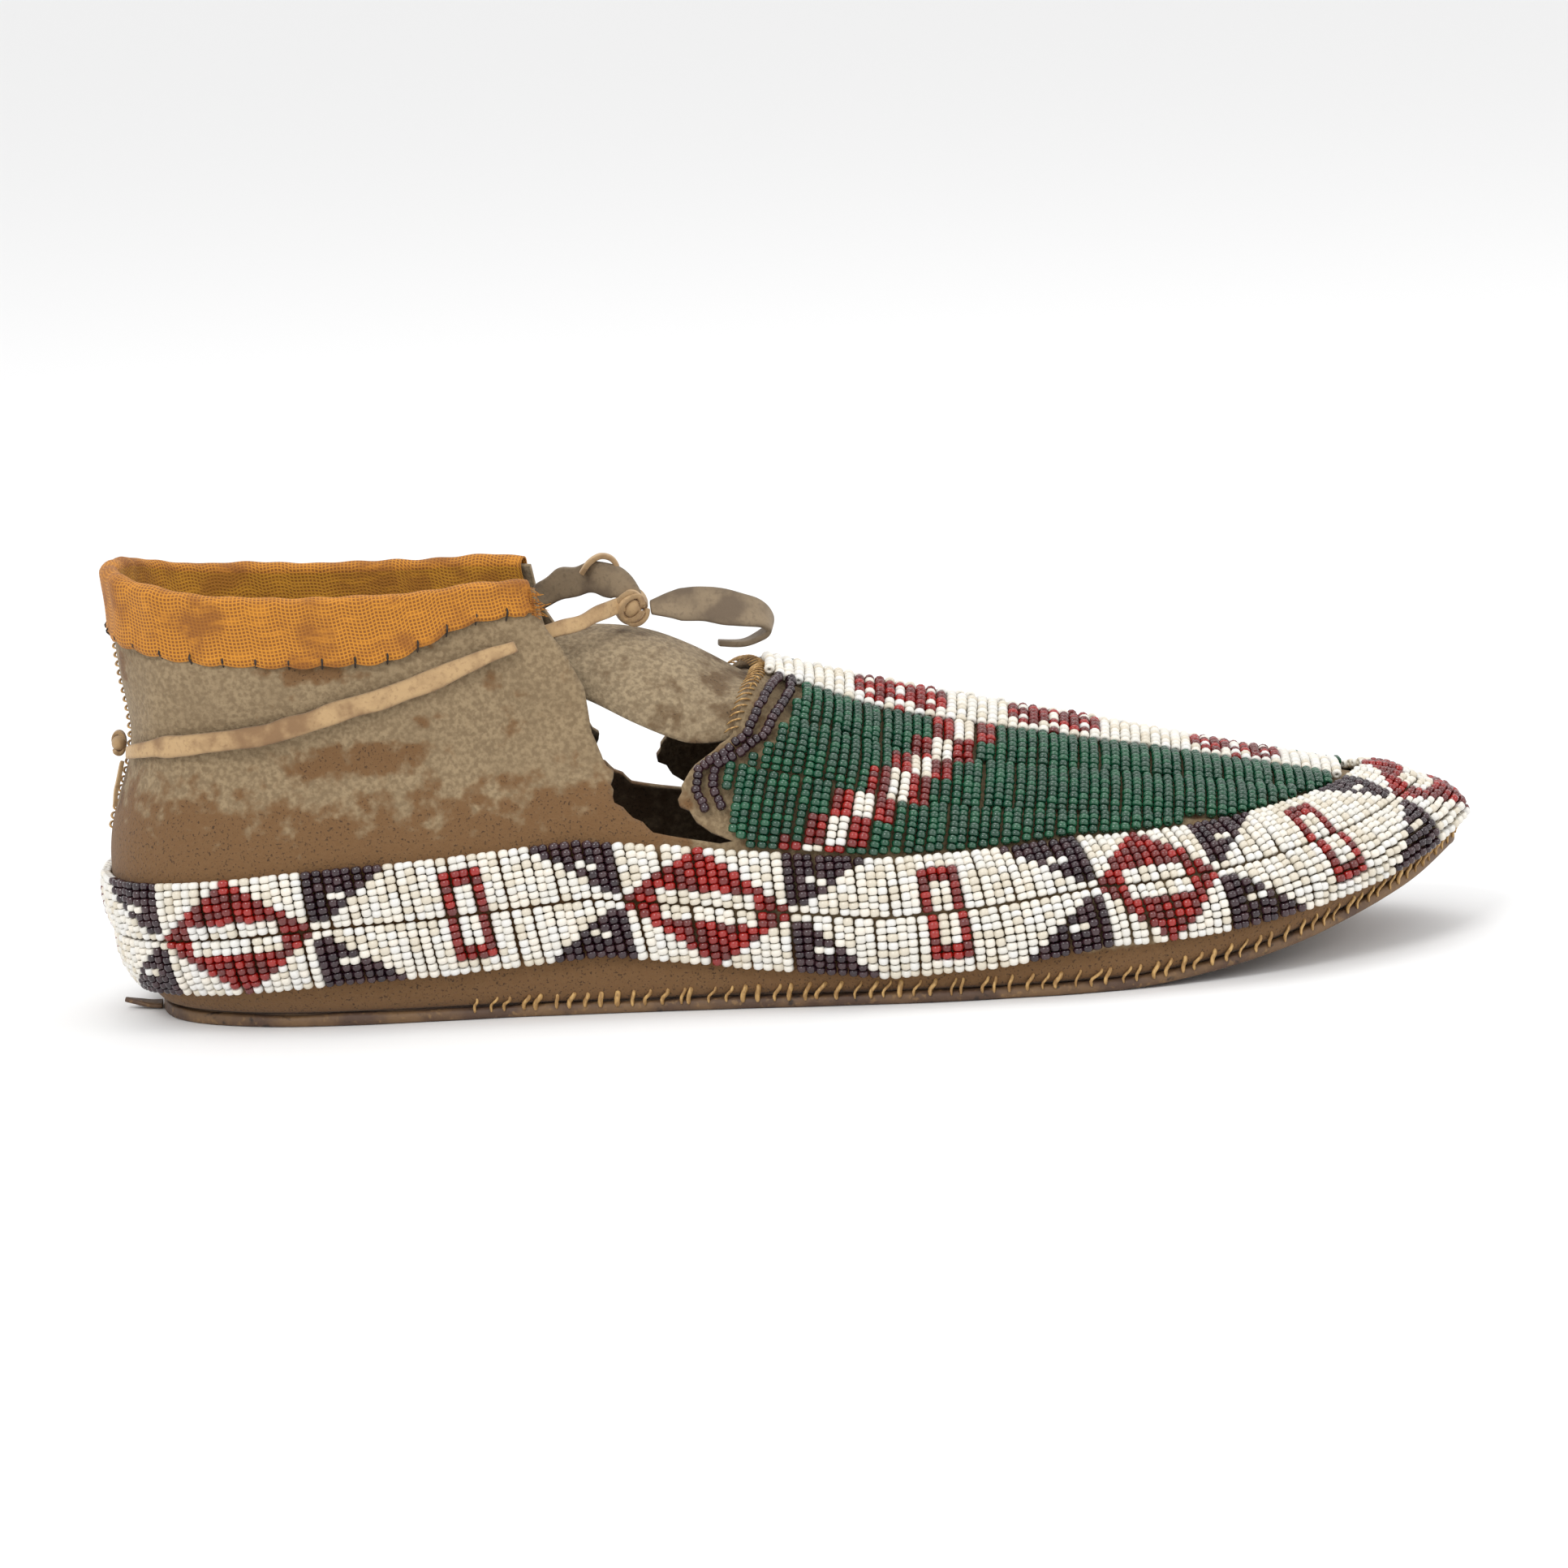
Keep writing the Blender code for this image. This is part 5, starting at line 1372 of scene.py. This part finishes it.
def ridge_lengths(side, alongs, ups):
    """Lengths down a section from the ridge. Behind the ridge it is joined at the throat's edge."""
    lengths = lengths_along(skin(side, alongs, ups))
    ahead = alongs >= edge_at(THROAT_EDGE, ups)
    if ahead.all() or not ahead.any():
        return lengths
    first = int(np.argmax(ahead))
    edge_ups = np.linspace(1, ups[first], 30)
    edge = skin(side, edge_at(THROAT_EDGE, edge_ups), edge_ups)
    return lengths - lengths[first] + lengths_along(edge)[-1]


def beaded_reach(side, alongs, ups, lengths):
    """The length down a section where the border's top edge is met."""
    above = np.array([wall_length(side, a, u) - border_start(a) for a, u in zip(alongs, ups)])
    return float(np.interp(2 * LANE_WIDTH + 1.0, above[::-1], lengths[::-1]))


def vamp_colour(column, row, rows_before):
    """Green, with a stepped band of red, white and red that climbs to the ridge."""
    step = min(int((row + rows_before) / 4.3), len(STEP_SHIFTS) - 1)
    from_middle = column + STEP_SHIFTS[step]
    if from_middle in (0, 1):
        return "white"
    if from_middle in (-2, -1, 2, 3):
        return "red"
    return "green"


def build_vamp():
    """Lanes of strings down both sides of the vamp, each string square to the lane."""
    for side in SIDES:
        kept = []
        for number in range(len(VAMP_LANES[side])):
            lane = f"{SIDE_NAMES[side]}_{number + 1}"
            kept.append(Beads(f"vamp_{lane}", f"vamp_lane_{lane}"))
        for place in np.arange(-26, 108, STRING_PITCH):
            alongs, ups = leaning_cut(side, place)
            if len(alongs) < 4:
                continue
            lengths = ridge_lengths(side, alongs, ups)
            reach = beaded_reach(side, alongs, ups, lengths)
            column = round((place - STEP_START) / STRING_PITCH)
            rows_before = 0
            for (low, high, count), beads in zip(VAMP_LANES[side], kept):
                vamp_string(beads, side, (alongs, ups, lengths), low, min(high, reach),
                            (high - low) / count, column, rows_before)
                rows_before += count
        for beads in kept:
            beads.build()


def vamp_string(beads, side, cut, low, high, spacing, column, rows_before):
    """One string across a lane, as many beads as there is room for."""
    count = int(round((high - low) / spacing))
    if count < 2:
        return
    alongs, ups, lengths = cut
    middles, halves = string_of_beads(count)
    down = low + middles * (high - low)
    at_along = np.interp(down, lengths, alongs) + RANDOM.normal(0, 0.0005)
    at_up = np.interp(down, lengths, ups)
    clear = CORNER_CLEAR + (THROAT_CLEAR - CORNER_CLEAR) * ease(0.33, 0.41, at_up)
    free = at_along >= edge_at(THROAT_EDGE, at_up) + clear
    if free.sum() < 2:
        return
    rise = 0.9 + 0.85 * np.sin(math.pi * np.clip(middles, 0.03, 0.97)) ** 0.6
    rise = rise + RANDOM.normal(0, 0.10)
    spots = off_skin(side, at_along, at_up, rise)
    ways = np.gradient(spots, axis=0) + RANDOM.normal(0, 0.06, (count, 3))
    normals = skin_normal(side, at_along, at_up)
    radii = STRING_PITCH * 0.50 * RANDOM.uniform(0.88, 1.04, count)
    colours = np.array([vamp_colour(column, row, rows_before) for row in range(count)])
    beads.add(list(colours[free]), spots[free], ways[free], normals[free], radii[free],
              (halves * (high - low) * 1.0)[free])


def cross_colour(place, row):
    for middle in CENTRE_CROSSES:
        column = round((place - middle) / STRING_PITCH) + 4
        if 0 <= column < 9:
            return "red" if CROSS_ROWS[row][column] == "r" else "white"
    return "white"


def build_centre_lane():
    """The white lane that lies over the ridge, with three red crosses."""
    beads = Beads("vamp_centre", "vamp_lane_centre")
    for place in np.arange(-17.5, 106.0, STRING_PITCH):
        cuts = []
        for side in SIDES:
            alongs, ups = leaning_cut(side, place)
            if len(alongs) < 4:
                break
            lengths = lengths_along(skin(side, alongs, ups))
            if beaded_reach(side, alongs, ups, lengths) < CENTRE_LANE[side]:
                break
            cuts.append((alongs, ups, lengths))
        if len(cuts) < 2:
            continue
        centre_string(beads, cuts, place)
    beads.build()


def centre_string(beads, cuts, place):
    middles, halves = string_of_beads(BEADS_A_LANE)
    width = CENTRE_LANE[NEAR] + CENTRE_LANE[FAR]
    signed = middles * width - CENTRE_LANE[NEAR]
    spots, normals = [], []
    for number, length in enumerate(signed):
        side = NEAR if length < 0 else FAR
        alongs, ups, lengths = cuts[0] if side == NEAR else cuts[1]
        along = float(np.interp(abs(length), lengths, alongs))
        up = float(np.interp(abs(length), lengths, ups))
        rise = 1.15 + 0.75 * math.sin(math.pi * middles[number]) ** 0.7
        spots.append(off_skin(side, along, up, rise))
        normals.append(skin_normal(side, along, up))
    spots = np.array(spots)
    ways = np.gradient(spots, axis=0) + RANDOM.normal(0, 0.05, (BEADS_A_LANE, 3))
    radii = STRING_PITCH * 0.51 * RANDOM.uniform(0.92, 1.06, BEADS_A_LANE)
    colours = [cross_colour(place, row) for row in range(BEADS_A_LANE)]
    beads.add(colours, spots, ways, np.array(normals), radii, halves * width * 1.02)


# How far down the throat's edge its two strings reach, as a share of the wall's height.
THROAT_REACH = 0.62


def build_throat_strings():
    """Two long strings along the throat's edge: dark at the sides and white over the ridge."""
    for lane, offset in (("rear", 0.0095), ("front", 0.0193)):
        beads = Beads(f"throat_{lane}", f"throat_string_{lane}")
        shares = np.linspace(-1, 1, 241)
        line = []
        for share in shares:
            side = NEAR if share < 0 else FAR
            up = 1 - THROAT_REACH * abs(share)
            line.append(off_skin(side, edge_at(THROAT_EDGE, up) + offset, up, 1.35))
        line = np.array(line)
        run = lengths_along(line)
        ridge_at = run[len(run) // 2]
        count = int(run[-1] / 1.42)
        middles, halves = string_of_beads(count)
        at = middles * run[-1]
        spots = np.stack([np.interp(at, run, line[:, k]) for k in range(3)], -1)
        spots = spots + RANDOM.normal(0, 0.07, spots.shape)
        picked = np.interp(at, run, shares)
        picked_ups = 1 - THROAT_REACH * np.abs(picked)
        normals = np.array([skin_normal(NEAR if share < 0 else FAR,
                                        edge_at(THROAT_EDGE, up) + offset, up)
                            for share, up in zip(picked, picked_ups)])
        ways = np.gradient(spots, axis=0)
        radii = RANDOM.uniform(0.92, 1.06, count)
        colours = ["white" if -CENTRE_LANE[NEAR] < place - ridge_at < CENTRE_LANE[FAR] else "purple"
                   for place in at]
        beads.add(colours, spots, ways, normals, radii, halves * run[-1])
        beads.build()


# ---------------------------------------------------------------- camera, light and floor

CAMERA_TURN = -3.0
CAMERA_HEIGHT_ANGLE = 10.0
CAMERA_ROLL = -2.9
CAMERA_DISTANCE = 1100.0
CAMERA_TARGET = (0.0, 0.0, 35.5)
LENS = 133.8
SENSOR = 36.0


def add_camera():
    turn, rise, roll = (math.radians(a) for a in (CAMERA_TURN, CAMERA_HEIGHT_ANGLE, CAMERA_ROLL))
    back = Vector((math.sin(turn) * math.cos(rise), -math.cos(turn) * math.cos(rise), math.sin(rise)))
    right = Vector((math.cos(turn), math.sin(turn), 0))
    up = back.cross(right)
    rolled_right = right * math.cos(roll) + up * math.sin(roll)
    rolled_up = up * math.cos(roll) - right * math.sin(roll)
    data = bpy.data.cameras.new("camera")
    data.lens = LENS
    data.sensor_width = SENSOR
    data.clip_start = 0.05
    camera = bpy.data.objects.new("camera", data)
    bpy.context.scene.collection.objects.link(camera)
    spot = (Vector(CAMERA_TARGET) + back * CAMERA_DISTANCE) * MILLIMETRE
    facing = Matrix((rolled_right, rolled_up, back)).transposed().to_4x4()
    camera.matrix_world = Matrix.Translation(spot) @ facing
    bpy.context.scene.camera = camera


def add_light(name, place, size, power, colour=(1, 1, 1)):
    """A square soft light that points at the shoe."""
    data = bpy.data.lights.new(name, "AREA")
    data.size = size
    data.energy = power
    data.color = colour
    light = bpy.data.objects.new(name, data)
    bpy.context.scene.collection.objects.link(light)
    light.location = place
    light.rotation_euler = (Vector(place) - Vector((0, 0, 0.03))).to_track_quat("Z", "Y").to_euler()


def add_surroundings():
    world = bpy.data.worlds.new("studio")
    world.use_nodes = True
    world.node_tree.nodes["Background"].inputs["Color"].default_value = (1.0, 1.0, 1.0, 1)
    world.node_tree.nodes["Background"].inputs["Strength"].default_value = 1.0
    bpy.context.scene.world = world
    bpy.context.scene.view_settings.view_transform = "Standard"
    add_light("key", (-0.7, -1.1, 1.3), 0.55, 10)
    add_light("side", (1.3, -0.6, 0.9), 0.5, 3.5)
    add_light("top", (0.1, 0.4, 1.5), 0.8, 4)
    floor_paint = Paint("floor", (0.86, 0.86, 0.86), 0.9)
    mesh = bpy.data.meshes.new("floor")
    reach = 12.0
    corners = [(-reach, -reach, 0), (reach, -reach, 0), (reach, reach, 0), (-reach, reach, 0)]
    mesh.from_pydata(corners, [], [(0, 1, 2, 3)])
    mesh.materials.append(floor_paint.material)
    floor = bpy.data.objects.new("floor", mesh)
    bpy.context.scene.collection.objects.link(floor)


add_camera()
add_surroundings()
build_sole()
build_hide()
build_tongue()
RIM_RUN = build_binding()
build_fray()
build_sole_stitches()
build_heel_stitches()
build_tongue_stitches()
build_binding_stitches(RIM_RUN)
build_lace()
build_knot()
build_bow()
build_heel_tie()
build_border()
build_vamp()
build_centre_lane()
build_throat_strings()
